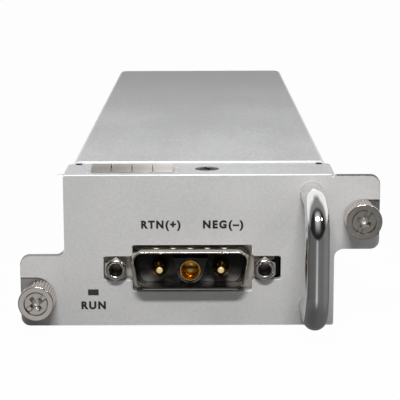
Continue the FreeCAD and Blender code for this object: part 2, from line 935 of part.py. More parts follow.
def make_finger_strip():
    half_run = dim.finger_run / 2
    arch = (half_run * half_run + dim.finger_rise * dim.finger_rise) / (2 * dim.finger_rise)
    middle_y = dim.finger_front + half_run
    axis_z = dim.panel_height + dim.finger_rise - arch
    leaves = []
    for index in range(int(dim.finger_count.value)):
        start = finger_start + finger_step * index
        name = f"finger_{index}"
        leaf = cut(name + "_leaf",
                   cylinder(name + "_outer", arch, dim.finger_width, start, middle_y, axis_z, TO_RIGHT),
                   [cylinder(name + "_inner", arch - dim.finger_sheet, dim.finger_width,
                             start, middle_y, axis_z, TO_RIGHT)])
        above = block(name + "_above", start, dim.finger_front, dim.panel_height,
                      start + dim.finger_width, dim.finger_front + dim.finger_run,
                      dim.panel_height + dim.finger_rise)
        arched = doc.addObject("Part::Common", name)
        arched.Base = leaf
        arched.Tool = above
        leaves.append(arched)
    rail = block("finger_rail", finger_start, finger_rear - dim.finger_rail, dim.panel_height,
                 finger_end, finger_rear, dim.panel_height + dim.finger_sheet)
    return node(fuse("finger_strip", leaves + [rail]), "finger_strip")


# Handle

def make_handle():
    rod = dim.handle_rod / 2
    run = dim.handle_reach - dim.handle_bend
    grip_y = panel_front - dim.handle_reach
    bend_y = panel_front - run
    pieces = []
    for name, z, up in (("low", handle_low, 1), ("high", handle_high, -1)):
        pieces.append(cylinder(f"handle_{name}_leg", rod, run, handle_x, panel_front, z, TO_FRONT))
        elbow = doc.addObject("Part::Torus", f"handle_{name}_elbow")
        bind(elbow, Radius1=dim.handle_bend, Radius2=rod)
        elbow.Angle3 = QUARTER_TURN
        start = 3 * QUARTER_TURN if up > 0 else 2 * QUARTER_TURN
        turn = TO_RIGHT * Rotation(Vector(0, 0, 1), start)
        pieces.append(put(elbow, handle_x, bend_y, z + up * dim.handle_bend, turn))
    grip_low = handle_low + dim.handle_bend
    grip_length = handle_high - handle_low - 2 * dim.handle_bend
    pieces.append(cylinder("handle_grip", rod, grip_length, handle_x, grip_y, grip_low))
    bent = fuse("handle_rod", pieces)
    taps = [
        cylinder(f"handle_tap_{index}", dim.thread_radius + dim.press_gap, dim.handle_tap,
                 handle_x, panel_front, z, TO_FRONT)
        for index, z in enumerate((handle_low, handle_high))
    ]
    node(cut("handle", bent, taps), "handle")
    screws = []
    for index, z in enumerate((handle_low, handle_high)):
        name = f"handle_screw_{index}"
        length = dim.handle_tap + dim.panel_thick + dim.tray_sheet - dim.press_gap
        screws.append(fuse(name, [
            cylinder(name + "_head", dim.pan_radius, dim.pan_height, handle_x, dim.tray_sheet, z, TO_REAR),
            cylinder(name + "_thread", dim.thread_radius, length, handle_x, dim.tray_sheet, z, TO_FRONT),
        ]))
    node(group("handle_screws", screws), "handle_screws")


# Captive thumbscrews, drawn upright about their own axis with the knob's rear face at zero

def make_knob(label, x, z):
    body = new_body(label)
    outline = front_sketch(body, label + "_outline")
    bevel = dim.knob_chamfer
    well = dim.knob_length - dim.knob_well_depth
    bore = dim.thread_radius + dim.press_gap
    polygon(outline, [
        (bore, 0),
        (dim.knob_radius - bevel, 0),
        (dim.knob_radius, bevel),
        (dim.knob_radius, dim.knob_length - bevel),
        (dim.knob_radius - bevel, dim.knob_length),
        (dim.knob_well_radius, dim.knob_length),
        (dim.knob_well_radius, well),
        (bore, well),
    ])
    revolve(body, outline)
    groove = top_sketch(body, label + "_groove")
    polygon(groove, [
        (dim.knob_radius - dim.knurl_depth, 0),
        (dim.knob_radius + dim.knurl_depth, dim.knurl_width),
        (dim.knob_radius + dim.knurl_depth, -dim.knurl_width),
    ])
    notch = pocket(body, groove, dim.knob_length, turned=True)
    ring_of(body, notch, dim.knurl_count)
    put(body, x, shift + knob_rear, z, TO_FRONT)
    return node(body, label, placed=True)


washer_front = -(dim.knob_gap + dim.panel_thick + dim.screw_travel + dim.washer_gap)
washer_rear = washer_front - dim.washer_thick
stud_front = washer_rear - dim.washer_gap
stud_rear = stud_front - dim.stud_length


def make_thumbscrew(label, x, z, slot_angle):
    body = new_body(label)
    outline = front_sketch(body, label + "_outline")
    well = dim.knob_length - dim.knob_well_depth
    head = dim.knob_length - dim.head_gap
    polygon(outline, [
        (0, stud_rear),
        (dim.thread_radius, stud_rear),
        (dim.thread_radius, stud_front),
        (dim.neck_radius, stud_front),
        (dim.neck_radius, 0),
        (dim.thread_radius, 0),
        (dim.thread_radius, well),
        (dim.knob_well_radius - dim.head_gap, well),
        (dim.knob_well_radius - dim.head_gap, head),
        (0, head),
    ])
    revolve(body, outline)
    cross = top_sketch(body, label + "_cross", head)
    arm = dim.recess_width / 2
    reach = dim.recess_reach
    polygon(cross, [
        (arm, arm), (arm, reach), (-arm, reach), (-arm, arm), (-reach, arm), (-reach, -arm),
        (-arm, -arm), (-arm, -reach), (arm, -reach), (arm, -arm), (reach, -arm), (reach, arm),
    ])
    pocket(body, cross, dim.recess_depth)
    slot = top_sketch(body, label + "_slot", head)
    half = dim.slot_width / 2
    rectangle(slot, -dim.knob_well_radius, -half, dim.knob_well_radius, half)
    pocket(body, slot, dim.slot_depth)
    put(body, x, shift + knob_rear, z, TO_FRONT * Rotation(Vector(0, 0, 1), slot_angle.value))
    return node(body, label, placed=True)


def make_washer(label, x, z):
    front = shift + knob_rear - washer_rear
    ring = cylinder(label + "_disc", dim.washer_radius, dim.washer_thick, 0, 0, 0)
    hole = cylinder(label + "_hole", dim.neck_radius + dim.neck_gap, dim.washer_thick, 0, 0, 0)
    item = cut(label, ring, [hole])
    put(item, x, front, z, TO_FRONT)
    return node(item, label, placed=True)


# Power connector

# The shell's width is taken over its rounded corners, so its square corners would lie further out
shell_corner = dim.shell_round / tangent((QUARTER_TURN - dim.shell_angle) / 2) - dim.shell_round
shell_half = dim.shell_width / 2 + shell_corner


def shell_outline(drawing, inset):
    """The D outline, wide side up, drawn in by an inset measured square to its sides."""
    slope = tangent(dim.shell_angle)
    sideways = inset / cosine(dim.shell_angle) + inset * slope
    top_half = shell_half - sideways
    high = dim.shell_height / 2 - inset
    low_half = top_half - 2 * high * slope
    polygon(drawing, [
        (plug_x - low_half, dim.plug_z - high),
        (plug_x + low_half, dim.plug_z - high),
        (plug_x + top_half, dim.plug_z + high),
        (plug_x - top_half, dim.plug_z + high),
    ])


def round_shell(body, inset):
    """Rounds the four long edges of the D outline."""
    high = dim.shell_height / 2 - inset

    def at_corner(point):
        level = near(abs(point.z - dim.plug_z.value), high)
        return level and abs(point.x - plug_x.value) < shell_half.value + SAME

    soften(body, dim.shell_round - inset, (0, 1, 0), at_corner)


def shell_prism(name, inset, back, length):
    """A body with the rounded D outline, which grows forwards from its back."""
    body = new_body(name)
    outline = front_sketch(body, name + "_outline", back)
    shell_outline(outline, inset)
    pad(body, outline, length)
    round_shell(body, inset)
    return body


def make_connector_shell():
    length = dim.shell_reach + dim.plug_sheet
    body = shell_prism("shell_skirt", ZERO, flange_back, length)
    flange = front_sketch(body, "plug_flange", flange_back)
    half = plug_flange_width / 2
    rise = dim.plug_flange_height / 2
    rectangle(flange, plug_x - half, dim.plug_z - rise, plug_x + half, dim.plug_z + rise)
    pad(body, flange, dim.plug_sheet)

    def flange_corner(point):
        return near(abs(point.x - plug_x.value), half)

    soften(body, dim.plug_sheet, (0, 1, 0), flange_corner)
    holes = front_sketch(body, "jack_holes", plug_face)
    for side in (-1, 1):
        circle(holes, plug_x + side * jack_spacing / 2, dim.plug_z, dim.jack_stud + dim.jack_gap)
    pocket(body, holes, dim.plug_sheet)
    dent = top_sketch(body, "dimple", dim.plug_z + dim.shell_height / 2)
    first = plug_x - dim.dimple_spacing * (dim.dimple_count - 1) / 2
    circle(dent, first, shell_rim + dim.dimple_back, dim.dimple_radius)
    repeat(body, pocket(body, dent, dim.dimple_depth), dim.dimple_spacing, dim.dimple_count)
    mouth = shell_prism("shell_mouth", dim.shell_wall, flange_back, length)
    return node(cut("connector_shell", body, [mouth]), "connector_shell")


contact_places = [plug_x - dim.contact_spacing, plug_x, plug_x + dim.contact_spacing]


def make_connector_body():
    inset = dim.shell_wall + dim.body_gap
    floor = plug_face - dim.body_floor
    body = shell_prism("connector_body", inset, flange_back, flange_back - floor)
    case = front_sketch(body, "rear_case", flange_back)
    half = (jack_spacing - dim.bracket_width) / 2 - dim.wall_gap
    low = board_top
    high = dim.plug_z + dim.plug_flange_height / 2 - dim.body_lift
    rectangle(case, plug_x - half, low, plug_x + half, high)
    pad(body, case, dim.body_depth, turned=True)

    block_front = shell_rim + dim.block_setback
    rise = front_sketch(body, "centre_block", floor)
    top_half = dim.block_top_width / 2
    polygon(rise, [
        (plug_x - dim.block_radius, dim.plug_z),
        (plug_x + dim.block_radius, dim.plug_z),
        (plug_x + top_half, dim.plug_z + dim.block_top),
        (plug_x - top_half, dim.plug_z + dim.block_top),
    ])
    pad(body, rise, floor - block_front)
    round_part = front_sketch(body, "centre_round", floor)
    circle(round_part, plug_x, dim.plug_z, dim.block_radius)
    pad(body, round_part, floor - block_front)

    bores = front_sketch(body, "bores", block_front)
    circle(bores, contact_places[1], dim.plug_z, dim.socket_radius + dim.contact_gap)
    for x in (contact_places[0], contact_places[2]):
        circle(bores, x, dim.plug_z, dim.pin_radius + dim.contact_gap)
    pocket(body, bores, body_back - block_front)
    return node(body, "connector_body")


def contact_tail(name, x, back):
    """The bent end of a contact, which goes down through the board."""
    drop = dim.plug_z - board_under + dim.tail_drop
    return [
        cylinder(name + "_run", dim.tail_radius, back, x, body_back, dim.plug_z, TO_REAR),
        cylinder(name + "_tail", dim.tail_radius, drop, x, body_back + back, dim.plug_z, DOWN),
        ball(name + "_bend", dim.tail_radius, x, body_back + back, dim.plug_z),
    ]


def make_contacts():
    pins = []
    for index, x in enumerate((contact_places[0], contact_places[2])):
        name = f"power_pin_{index}"
        nose_end = contact_face + dim.pin_nose
        nose = cone(name + "_nose", dim.pin_tip_radius, dim.pin_radius, dim.pin_nose, x, contact_face,
                    dim.plug_z, TO_REAR)
        shank = cylinder(name + "_shank", dim.pin_radius, body_back - nose_end, x, nose_end,
                         dim.plug_z, TO_REAR)
        pins.append(fuse(name, [nose, shank] + contact_tail(name, x, dim.tail_back)))
    node(group("power_pins", pins), "power_pins")
    x = contact_places[1]
    tube = cut("socket_tube",
               cylinder("socket_outer", dim.socket_radius, body_back - contact_face, x, contact_face,
                        dim.plug_z, TO_REAR),
               [cylinder("socket_inner", dim.socket_bore, dim.socket_depth, x, contact_face,
                         dim.plug_z, TO_REAR)])
    socket = fuse("return_socket", [tube] + contact_tail("socket", x, dim.socket_tail_back))
    node(socket, "return_socket")


HEX_SIDES = 6


def make_jackscrews():
    screws = []
    for index, side in enumerate((-1, 1)):
        name = f"jackscrew_{index}"
        x = plug_x + side * jack_spacing / 2
        hexagon = doc.addObject("Part::Prism", name + "_hex")
        hexagon.Polygon = HEX_SIDES
        corner = dim.jack_flats / (2 * cosine(as_size(FULL_TURN / HEX_SIDES / 2)))
        bind(hexagon, Circumradius=corner, Height=dim.jack_length)
        put(hexagon, x, plug_face, dim.plug_z, TO_FRONT)
        straight = dim.jack_length - dim.jack_chamfer
        envelope = fuse(name + "_turning", [
            cylinder(name + "_barrel", corner, straight, x, plug_face, dim.plug_z, TO_FRONT),
            cone(name + "_bevel", corner, corner - dim.jack_chamfer, dim.jack_chamfer,
                 x, plug_face - straight, dim.plug_z, TO_FRONT),
        ])
        turned = doc.addObject("Part::Common", name + "_turned")
        turned.Base = hexagon
        turned.Tool = envelope
        stud = cylinder(name + "_stud", dim.jack_stud, dim.jack_stud_length, x, plug_face,
                        dim.plug_z, TO_REAR)
        solid = fuse(name + "_solid", [turned, stud])
        tap = cylinder(name + "_tap", dim.jack_tap, dim.jack_tap_depth, x, plug_face - dim.jack_length,
                       dim.plug_z, TO_REAR)
        screws.append(cut(name, solid, [tap]))
    node(group("jackscrews", screws), "jackscrews")


def make_brackets():
    brackets = []
    for index, side in enumerate((-1, 1)):
        name = f"connector_bracket_{index}"
        x = plug_x + side * jack_spacing / 2
        half = dim.bracket_width / 2
        upright = block(name + "_upright", x - half, flange_back, board_top, x + half,
                        flange_back + dim.bracket_sheet, dim.plug_z + dim.bracket_rise)
        foot = block(name + "_foot", x - half, flange_back, board_top, x + half,
                     flange_back + dim.bracket_foot, board_top + dim.bracket_sheet)
        hole = cylinder(name + "_hole", dim.jack_stud + dim.jack_gap, dim.bracket_sheet, x, flange_back,
                        dim.plug_z, TO_REAR)
        brackets.append(cut(name, fuse(name + "_angle", [upright, foot]), [hole]))
    node(group("connector_brackets", brackets), "connector_brackets")


# Lamp

def make_lamp():
    half = dim.lamp_width / 2 - dim.lamp_gap
    rise = dim.lamp_height / 2 - dim.lamp_gap
    pipe_rear = dim.pipe_length
    pipe = block("light_pipe_bar", lamp_x - half, film_front, lamp_z - rise,
                 lamp_x + half, pipe_rear, lamp_z + rise)
    node(group("light_pipe", [pipe]), "light_pipe")
    side = dim.lamp_side / 2
    lamp = block("run_lamp_case", lamp_x - side, pipe_rear, board_top,
                 lamp_x + side, pipe_rear + dim.lamp_depth, lamp_z + dim.lamp_lift)
    node(group("run_lamp", [lamp]), "run_lamp")


# Circuit board

standoff_x = board_half - dim.standoff_inset
standoff_places = [
    (side * standoff_x, y)
    for side in (-1, 1)
    for y in (dim.board_front + dim.standoff_front, board_rear - dim.standoff_rear)
]


def make_board():
    plate = block("board_plate", -board_half, dim.board_front, board_under, board_half, board_rear, board_top)
    holes = []
    for index, (x, y) in enumerate(standoff_places):
        holes.append(cylinder(f"board_hole_{index}", clear_radius, dim.board_thick, x, y, board_under))
    backs = (dim.tail_back, dim.socket_tail_back, dim.tail_back)
    for index, (x, back) in enumerate(zip(contact_places, backs)):
        holes.append(cylinder(f"tail_hole_{index}", dim.tail_radius + dim.sunk_gap, dim.board_thick,
                              x, body_back + back, board_under))
    node(cut("circuit_board", plate, holes), "circuit_board")

    posts = []
    screws = []
    for index, (x, y) in enumerate(standoff_places):
        post = cylinder(f"standoff_{index}_post", dim.standoff_radius, dim.standoff_height,
                        x, y, dim.tray_sheet)
        tap = cylinder(f"standoff_{index}_tap", dim.thread_radius + dim.press_gap, dim.standoff_height,
                       x, y, dim.tray_sheet)
        posts.append(cut(f"standoff_{index}", post, [tap]))
        name = f"board_screw_{index}"
        screws.append(fuse(name, [
            cylinder(name + "_head", dim.pan_radius, dim.pan_height, x, y, board_top),
            cylinder(name + "_thread", dim.thread_radius, dim.board_screw_length, x, y, board_top, DOWN),
        ]))
    node(group("standoffs", posts), "standoffs")
    node(group("board_screws", screws), "board_screws")

    side = tray_inner - dim.tray_round
    film = block("sheet_plate", -side, dim.board_front, dim.tray_sheet, side, board_rear,
                 dim.tray_sheet + dim.sheet_thick)
    cuts = [
        cylinder(f"sheet_hole_{index}", dim.standoff_radius + dim.sheet_gap, dim.sheet_thick,
                 x, y, dim.tray_sheet)
        for index, (x, y) in enumerate(standoff_places)
    ]
    node(cut("insulating_sheet", film, cuts), "insulating_sheet")


# Circuit: the pieces stand in a row from front to rear, with the same gap between neighbours

choke_reach = dim.choke_outer + dim.winding_gap + dim.winding_thick
choke_y = dim.fuse_y + dim.fuse_length + dim.part_gap + choke_reach
film_cap_y = choke_y + choke_reach + dim.part_gap
bulk_room = 2 * (board_half - dim.bulk_edge) - dim.bulk_gap * (dim.bulk_count - 1)
bulk_radius = bulk_room / (2 * dim.bulk_count)
bulk_spacing = 2 * bulk_radius + dim.bulk_gap
bulk_y = film_cap_y + dim.film_cap_depth + dim.part_gap + bulk_radius
brick_front = bulk_y + bulk_radius + dim.part_gap
out_cap_y = rear_front - dim.part_gap - dim.out_cap_radius
out_cap_x = standoff_x - dim.pan_radius - dim.out_cap_gap - dim.out_cap_radius
brick_rear = out_cap_y - dim.out_cap_radius - dim.part_gap
brick_length = brick_rear - brick_front


def make_fuse():
    axis_z = board_top + dim.fuse_lift + dim.fuse_radius
    barrel = dim.fuse_radius - dim.clip_sheet / 2
    caps = [("front", dim.fuse_y), ("rear", dim.fuse_y + dim.fuse_length - dim.fuse_cap)]
    pieces = [cylinder("fuse_barrel", barrel, dim.fuse_length, dim.fuse_x, dim.fuse_y, axis_z, TO_REAR)]
    clips = []
    for name, y in caps:
        pieces.append(cylinder(f"fuse_{name}_cap", dim.fuse_radius, dim.fuse_cap, dim.fuse_x, y,
                               axis_z, TO_REAR))
        start = y + (dim.fuse_cap - dim.clip_length) / 2
        half = dim.fuse_radius + dim.fit_gap + dim.clip_sheet
        saddle = block(f"clip_{name}_saddle", dim.fuse_x - half, start, board_top, dim.fuse_x + half,
                       start + dim.clip_length, axis_z + dim.fuse_radius / 2)
        bed = cylinder(f"clip_{name}_bed", dim.fuse_radius + dim.fit_gap, dim.clip_length, dim.fuse_x, start,
                       axis_z, TO_REAR)
        clips.append(cut(f"clip_{name}", saddle, [bed]))
    node(fuse("input_fuse", pieces), "input_fuse")
    node(group("fuse_clips", clips), "fuse_clips")


def make_surge_absorbers():
    discs = []
    for index in range(2):
        x = dim.surge_x + dim.surge_spacing * index
        discs.append(cylinder(f"surge_disc_{index}", dim.surge_radius, dim.surge_thick, x, dim.surge_y,
                              board_top + dim.surge_radius, TO_RIGHT))
    node(group("surge_absorbers", discs), "surge_absorbers")


def make_choke():
    wrap = dim.winding_thick
    low = board_top + wrap + dim.winding_gap
    core = cut("choke_core",
               cylinder("choke_outside", dim.choke_outer, dim.choke_height, 0, choke_y, low),
               [cylinder("choke_inside", dim.choke_inner, dim.choke_height, 0, choke_y, low)])
    node(core, "choke_core")
    windings = []
    for index, side in enumerate((0, 2 * QUARTER_TURN)):
        name = f"winding_{index}"
        middle = Rotation(Vector(0, 0, 1), side - dim.winding_arc.value / 2)
        gap = dim.winding_gap
        rings = []
        for kind, radius, start, high in (
            ("outer", dim.choke_outer + gap + wrap, board_top, dim.choke_height + 2 * (wrap + gap)),
            ("bore", dim.choke_inner - gap - wrap, board_top, dim.choke_height + 2 * (wrap + gap)),
            ("core", dim.choke_outer + gap, board_top + wrap, dim.choke_height + 2 * gap),
            ("hole", dim.choke_inner - gap, board_top + wrap, dim.choke_height + 2 * gap),
        ):
            ring = cylinder(f"{name}_{kind}", radius, high, 0, choke_y, start, middle)
            bind(ring, Angle=dim.winding_arc)
            rings.append(ring)
        sleeve = cut(name + "_sleeve", rings[0], [rings[1]])
        channel = cut(name + "_channel", rings[2], [rings[3]])
        windings.append(cut(name, sleeve, [channel]))
    node(group("choke_windings", windings), "choke_windings")


def make_capacitors():
    films = []
    for index, side in enumerate((-1, 1)):
        x = side * dim.film_cap_x
        half = dim.film_cap_width / 2
        films.append(block(f"film_capacitor_{index}", x - half, film_cap_y, board_top, x + half,
                           film_cap_y + dim.film_cap_depth, board_top + dim.film_cap_height))
    node(group("film_capacitors", films), "film_capacitors")
    cans = []
    for index in range(int(dim.bulk_count.value)):
        x = bulk_spacing * index - bulk_spacing * (dim.bulk_count - 1) / 2
        cans.append(cylinder(f"bulk_capacitor_{index}", bulk_radius, dim.bulk_height,
                             x, bulk_y, board_top))
    node(group("bulk_capacitors", cans), "bulk_capacitors")
    outputs = [
        cylinder(f"output_capacitor_{index}", dim.out_cap_radius, dim.out_cap_height, side * out_cap_x,
                 out_cap_y, board_top)
        for index, side in enumerate((-1, 1))
    ]
    node(group("output_capacitors", outputs), "output_capacitors")


def make_converter():
    half = dim.brick_width / 2
    brick_top = board_top + dim.brick_height
    brick = block("converter_case", -half, brick_front, board_top, half, brick_rear, brick_top)
    node(group("converter_module", [brick]), "converter_module")

    body = new_body("heatsink")
    base = front_sketch(body, "sink_base", brick_front)
    rectangle(base, -half, brick_top, half, brick_top + dim.sink_base)
    pad(body, base, brick_length, turned=True)
    fin = front_sketch(body, "sink_fin", brick_front)
    low = brick_top + dim.sink_base
    rectangle(fin, -half, low, -half + dim.sink_fin_width, low + dim.sink_fin_height)
    first = pad(body, fin, brick_length, turned=True)
    step = (dim.brick_width - dim.sink_fin_width) / (dim.sink_fin_count - 1)
    repeat(body, first, step, dim.sink_fin_count)
    node(body, "converter_heatsink")


# Blind-mating connector at the rear

def make_backplane_connector():
    body = new_body("rear_housing")
    shape = front_sketch(body, "housing", rear_front)
    half = dim.rear_width / 2
    rectangle(shape, -half, board_top, half, board_top + dim.rear_height)
    pad(body, shape, rear_face - rear_front, turned=True)
    slot = front_sketch(body, "contact_slot", rear_face)
    first = -dim.rear_spacing * (dim.rear_count - 1) / 2
    middle = board_top + dim.rear_height / 2
    slot_half = dim.rear_slot_width / 2
    slot_rise = dim.rear_slot_height / 2
    rectangle(slot, first - slot_half, middle - slot_rise, first + slot_half, middle + slot_rise)
    repeat(body, pocket(body, slot, dim.rear_slot_depth, turned=True), dim.rear_spacing, dim.rear_count)
    node(body, "backplane_housing")

    blades = []
    for index in range(int(dim.rear_count.value)):
        x = first + dim.rear_spacing * index
        blades.append(block(f"blade_{index}", x - dim.rear_blade / 2, rear_face - dim.rear_slot_depth,
                            middle - slot_rise + dim.fit_gap, x + dim.rear_blade / 2,
                            rear_face - dim.rear_blade_setback, middle + slot_rise - dim.fit_gap))
    node(group("backplane_contacts", blades), "backplane_contacts")


make_front_panel()
make_panel_overlay()
make_tray()
make_top_cover()
make_case_screws()
make_finger_strip()
make_handle()
for side_name, side_x, side_z, angle in (
    ("left", -screw_x, dim.left_screw_z, dim.left_slot_angle),
    ("right", screw_x, right_screw_z, dim.right_slot_angle),
):
    make_knob(side_name + "_knob", side_x, side_z)
    make_thumbscrew(side_name + "_screw", side_x, side_z, angle)
    make_washer(side_name + "_washer", side_x, side_z)
make_connector_shell()
make_connector_body()
make_contacts()
make_jackscrews()
make_brackets()
make_lamp()
make_board()
make_fuse()
make_surge_absorbers()
make_choke()
make_capacitors()
make_converter()
make_backplane_connector()
doc.recompute()

failed = [item.Label for item in doc.Objects if "Invalid" in item.State or "Error" in item.State]
failed += [part.Label for part in parts if part.Shape.isNull() or not part.Shape.isValid()]
if failed:
    raise RuntimeError("these did not build: " + ", ".join(failed))

os.makedirs("parts", exist_ok=True)
for part in parts:
    part.Shape.exportStep(os.path.join("parts", part.Label + ".step"))
    print(part.Label, len(part.Shape.Solids), round(part.Shape.Volume, 1))
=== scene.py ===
# %% [markdown]
# A plug-in DC power module: a flat case of galvanised sheet behind an eared front panel, with a
# D-shaped power plug, a bent chrome handle and two captive thumbscrews. The solids come from the CAD
# model as a fixed frame. This lesson gives them their finishes, and remakes in finer mesh the pieces
# whose turned, drawn or bent metal shows most.

# %% Load the frame
import math

import bmesh
import bpy
from mathutils import Matrix, Vector


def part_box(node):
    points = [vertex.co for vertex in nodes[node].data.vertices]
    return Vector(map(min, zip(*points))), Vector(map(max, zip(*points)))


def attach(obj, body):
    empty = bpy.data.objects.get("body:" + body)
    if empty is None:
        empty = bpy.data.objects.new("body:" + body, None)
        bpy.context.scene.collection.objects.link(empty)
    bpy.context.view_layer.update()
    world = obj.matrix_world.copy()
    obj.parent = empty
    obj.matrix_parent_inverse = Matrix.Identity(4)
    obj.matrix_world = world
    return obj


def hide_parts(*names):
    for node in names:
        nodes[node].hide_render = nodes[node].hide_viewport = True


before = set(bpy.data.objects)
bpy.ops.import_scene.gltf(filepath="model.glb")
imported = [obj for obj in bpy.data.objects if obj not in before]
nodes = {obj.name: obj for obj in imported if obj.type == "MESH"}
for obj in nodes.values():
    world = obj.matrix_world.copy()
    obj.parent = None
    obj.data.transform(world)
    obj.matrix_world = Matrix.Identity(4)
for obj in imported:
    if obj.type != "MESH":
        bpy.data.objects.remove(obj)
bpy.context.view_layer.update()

MM = 0.001


def middle(node):
    """The middle of a CAD node's box, in metres."""
    low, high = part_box(node)
    return (low + high) / 2


panel_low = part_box("front_panel")[0]
film_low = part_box("panel_overlay")[0]
print("panel front at y", round(panel_low.y / MM, 3), "film front at y", round(film_low.y / MM, 3))

# %% [markdown]
# Shader maths reads better as Python. A small class wraps a socket, so that plus, minus and times add
# their Math nodes, and one method adds any other node. Every finish below is a Principled shader with
# its colour, roughness and bump worked out from noise in Object coordinates, so the pattern is fixed to
# the metal and stays there when a piece moves.

# %% A socket that can be calculated with


class Field:
    """A value over the surface, which can be added, subtracted, multiplied and made positive."""

    def __init__(self, owner, socket):
        self.owner = owner
        self.socket = socket

    def maths(self, operation, *values):
        return self.owner.field("ShaderNodeMath", dict(enumerate(values)), operation=operation)

    def __add__(self, other):
        return self.maths("ADD", self, other)

    def __sub__(self, other):
        return self.maths("SUBTRACT", self, other)

    def __rsub__(self, other):
        return self.maths("SUBTRACT", other, self)

    def __mul__(self, other):
        return self.maths("MULTIPLY", self, other)

    def __abs__(self):
        return self.maths("ABSOLUTE", self)

    __radd__ = __add__
    __rmul__ = __mul__

    def ramp(self, low, high):
        """0 below low and 1 above high, smooth between."""
        ends = {"Value": self, "From Min": low, "From Max": high}
        return self.owner.field("ShaderNodeMapRange", ends, "Result", interpolation_type="SMOOTHSTEP")


# %% [markdown]
# A finish is a material and the nodes that feed it. The class below it adds nodes to any tree, so it also
# serves the geometry trees and the surround.

# %% Nodes and finishes


class Nodes:
    """Adds nodes to a tree and links their sockets."""

    def __init__(self, tree):
        self.tree = tree
        tree.nodes.clear()

    def add(self, kind, sockets=None, **settings):
        node = self.tree.nodes.new(kind)
        for name, value in settings.items():
            setattr(node, name, value)
        for name, value in (sockets or {}).items():
            socket = node.inputs[name]
            if isinstance(value, Field):
                value = value.socket
            if isinstance(value, bpy.types.NodeSocket):
                self.tree.links.new(value, socket)
            else:
                socket.default_value = value
        return node

    def field(self, kind, sockets=None, output=0, **settings):
        """One output of a new node."""
        return Field(self, self.add(kind, sockets, **settings).outputs[output])

    def ray(self, kind):
        """1 for rays of a kind, such as Camera."""
        return self.field("ShaderNodeLightPath", None, f"Is {kind} Ray")


class Finish(Nodes):
    """A Principled material whose constants are set on its own sockets."""

    def __init__(self, name, **constants):
        self.material = bpy.data.materials.new(name)
        self.material.use_nodes = True
        super().__init__(self.material.node_tree)
        constants = {key.replace("_", " "): value for key, value in constants.items()}
        self.shader = self.add("ShaderNodeBsdfPrincipled", constants)
        self.output = self.add("ShaderNodeOutputMaterial", {"Surface": self.shader.outputs[0]})
        self.place = self.add("ShaderNodeTexCoord").outputs["Object"]

    def noise(self, size, detail=2.0, stretch=(1, 1, 1)):
        """Noise from 0 to 1 whose blotches are about this size, in millimetres."""
        place = self.field("ShaderNodeMapping", {"Vector": self.place, "Scale": stretch})
        return self.field("ShaderNodeTexNoise", {"Vector": place, "Scale": 1 / (size * MM), "Detail": detail})

    def cells(self, size):
        """A random grey for each cell of about this size, in millimetres."""
        colour = self.field("ShaderNodeTexVoronoi", {"Vector": self.place, "Scale": 1 / (size * MM)}, "Color")
        return self.field("ShaderNodeRGBToBW", {0: colour})

    def axis(self, letter):
        """One coordinate of the surface, in millimetres."""
        return self.field("ShaderNodeSeparateXYZ", {0: self.place}, letter) * (1 / MM)

    def mix(self, factor, first, second):
        """A colour between two colours."""
        return self.field("ShaderNodeMix", {0: factor, 6: first, 7: second}, 2, data_type="RGBA")

    def tint(self, fine, slow, dark, light):
        """A colour that wanders between two colours with a fine and a slow noise."""
        return self.mix((fine * 0.5 + slow * 0.5).ramp(0.3, 0.7), dark, light)

    def paint(self, **fields):
        """Feeds fields into the shader's sockets."""
        for name, field in fields.items():
            self.tree.links.new(field.socket, self.shader.inputs[name.replace("_", " ")])
        return self

    def bump(self, height, depth, strength=0.5):
        """Turns a height from 0 to 1 into a bump of this depth in millimetres."""
        return self.paint(Normal=self.field("ShaderNodeBump", {
            "Strength": strength, "Distance": depth * MM, "Height": height}))


def grey(value, warm=0.0):
    """A linear grey with a little warmth."""
    return (value * (1 + warm), value, value * (1 - 1.5 * warm), 1)


# %% [markdown]
# The front carries a matt film with a fine grain. Up close it is a field of tiny bumps, so a fine noise
# drives both a faint speckle in the colour and the bump. Slow noise adds the uneven tone of print, and
# the lower part of the panel is painted a little darker, as painted shade where the light falls off.

# %% The film on the panel
film = Finish("panel_film", Metallic=0.0, IOR=1.45)
speckle = film.noise(0.35, 3)
slow = film.noise(18, 2)
tone = speckle * 0.55 + slow * 0.45
film.paint(
    Base_Color=film.mix(
        # Painted shade: the film's colour darkens below 20 mm, where the light falls off.
        (1 - film.axis("Z").ramp(3, 20)) * 0.5,
        film.mix(tone.ramp(0.32, 0.68), grey(0.45, 0.006), grey(0.53, 0.008)),
        film.mix(tone.ramp(0.32, 0.68), grey(0.39, 0.006), grey(0.46, 0.008))),
    Roughness=speckle * 0.16 + 0.46,
).bump(speckle, 0.03, 0.35)

# %% [markdown]
# The case is galvanised sheet: a semi-bright zinc skin with a fine frosty grain and slow clouds where
# the bath cooled unevenly. Small Voronoi cells give the frost, stretched noise gives the rolling marks.

# %% Galvanised sheet
EAR_ROOT = 30.5
cover_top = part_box("top_cover")[1].z / MM


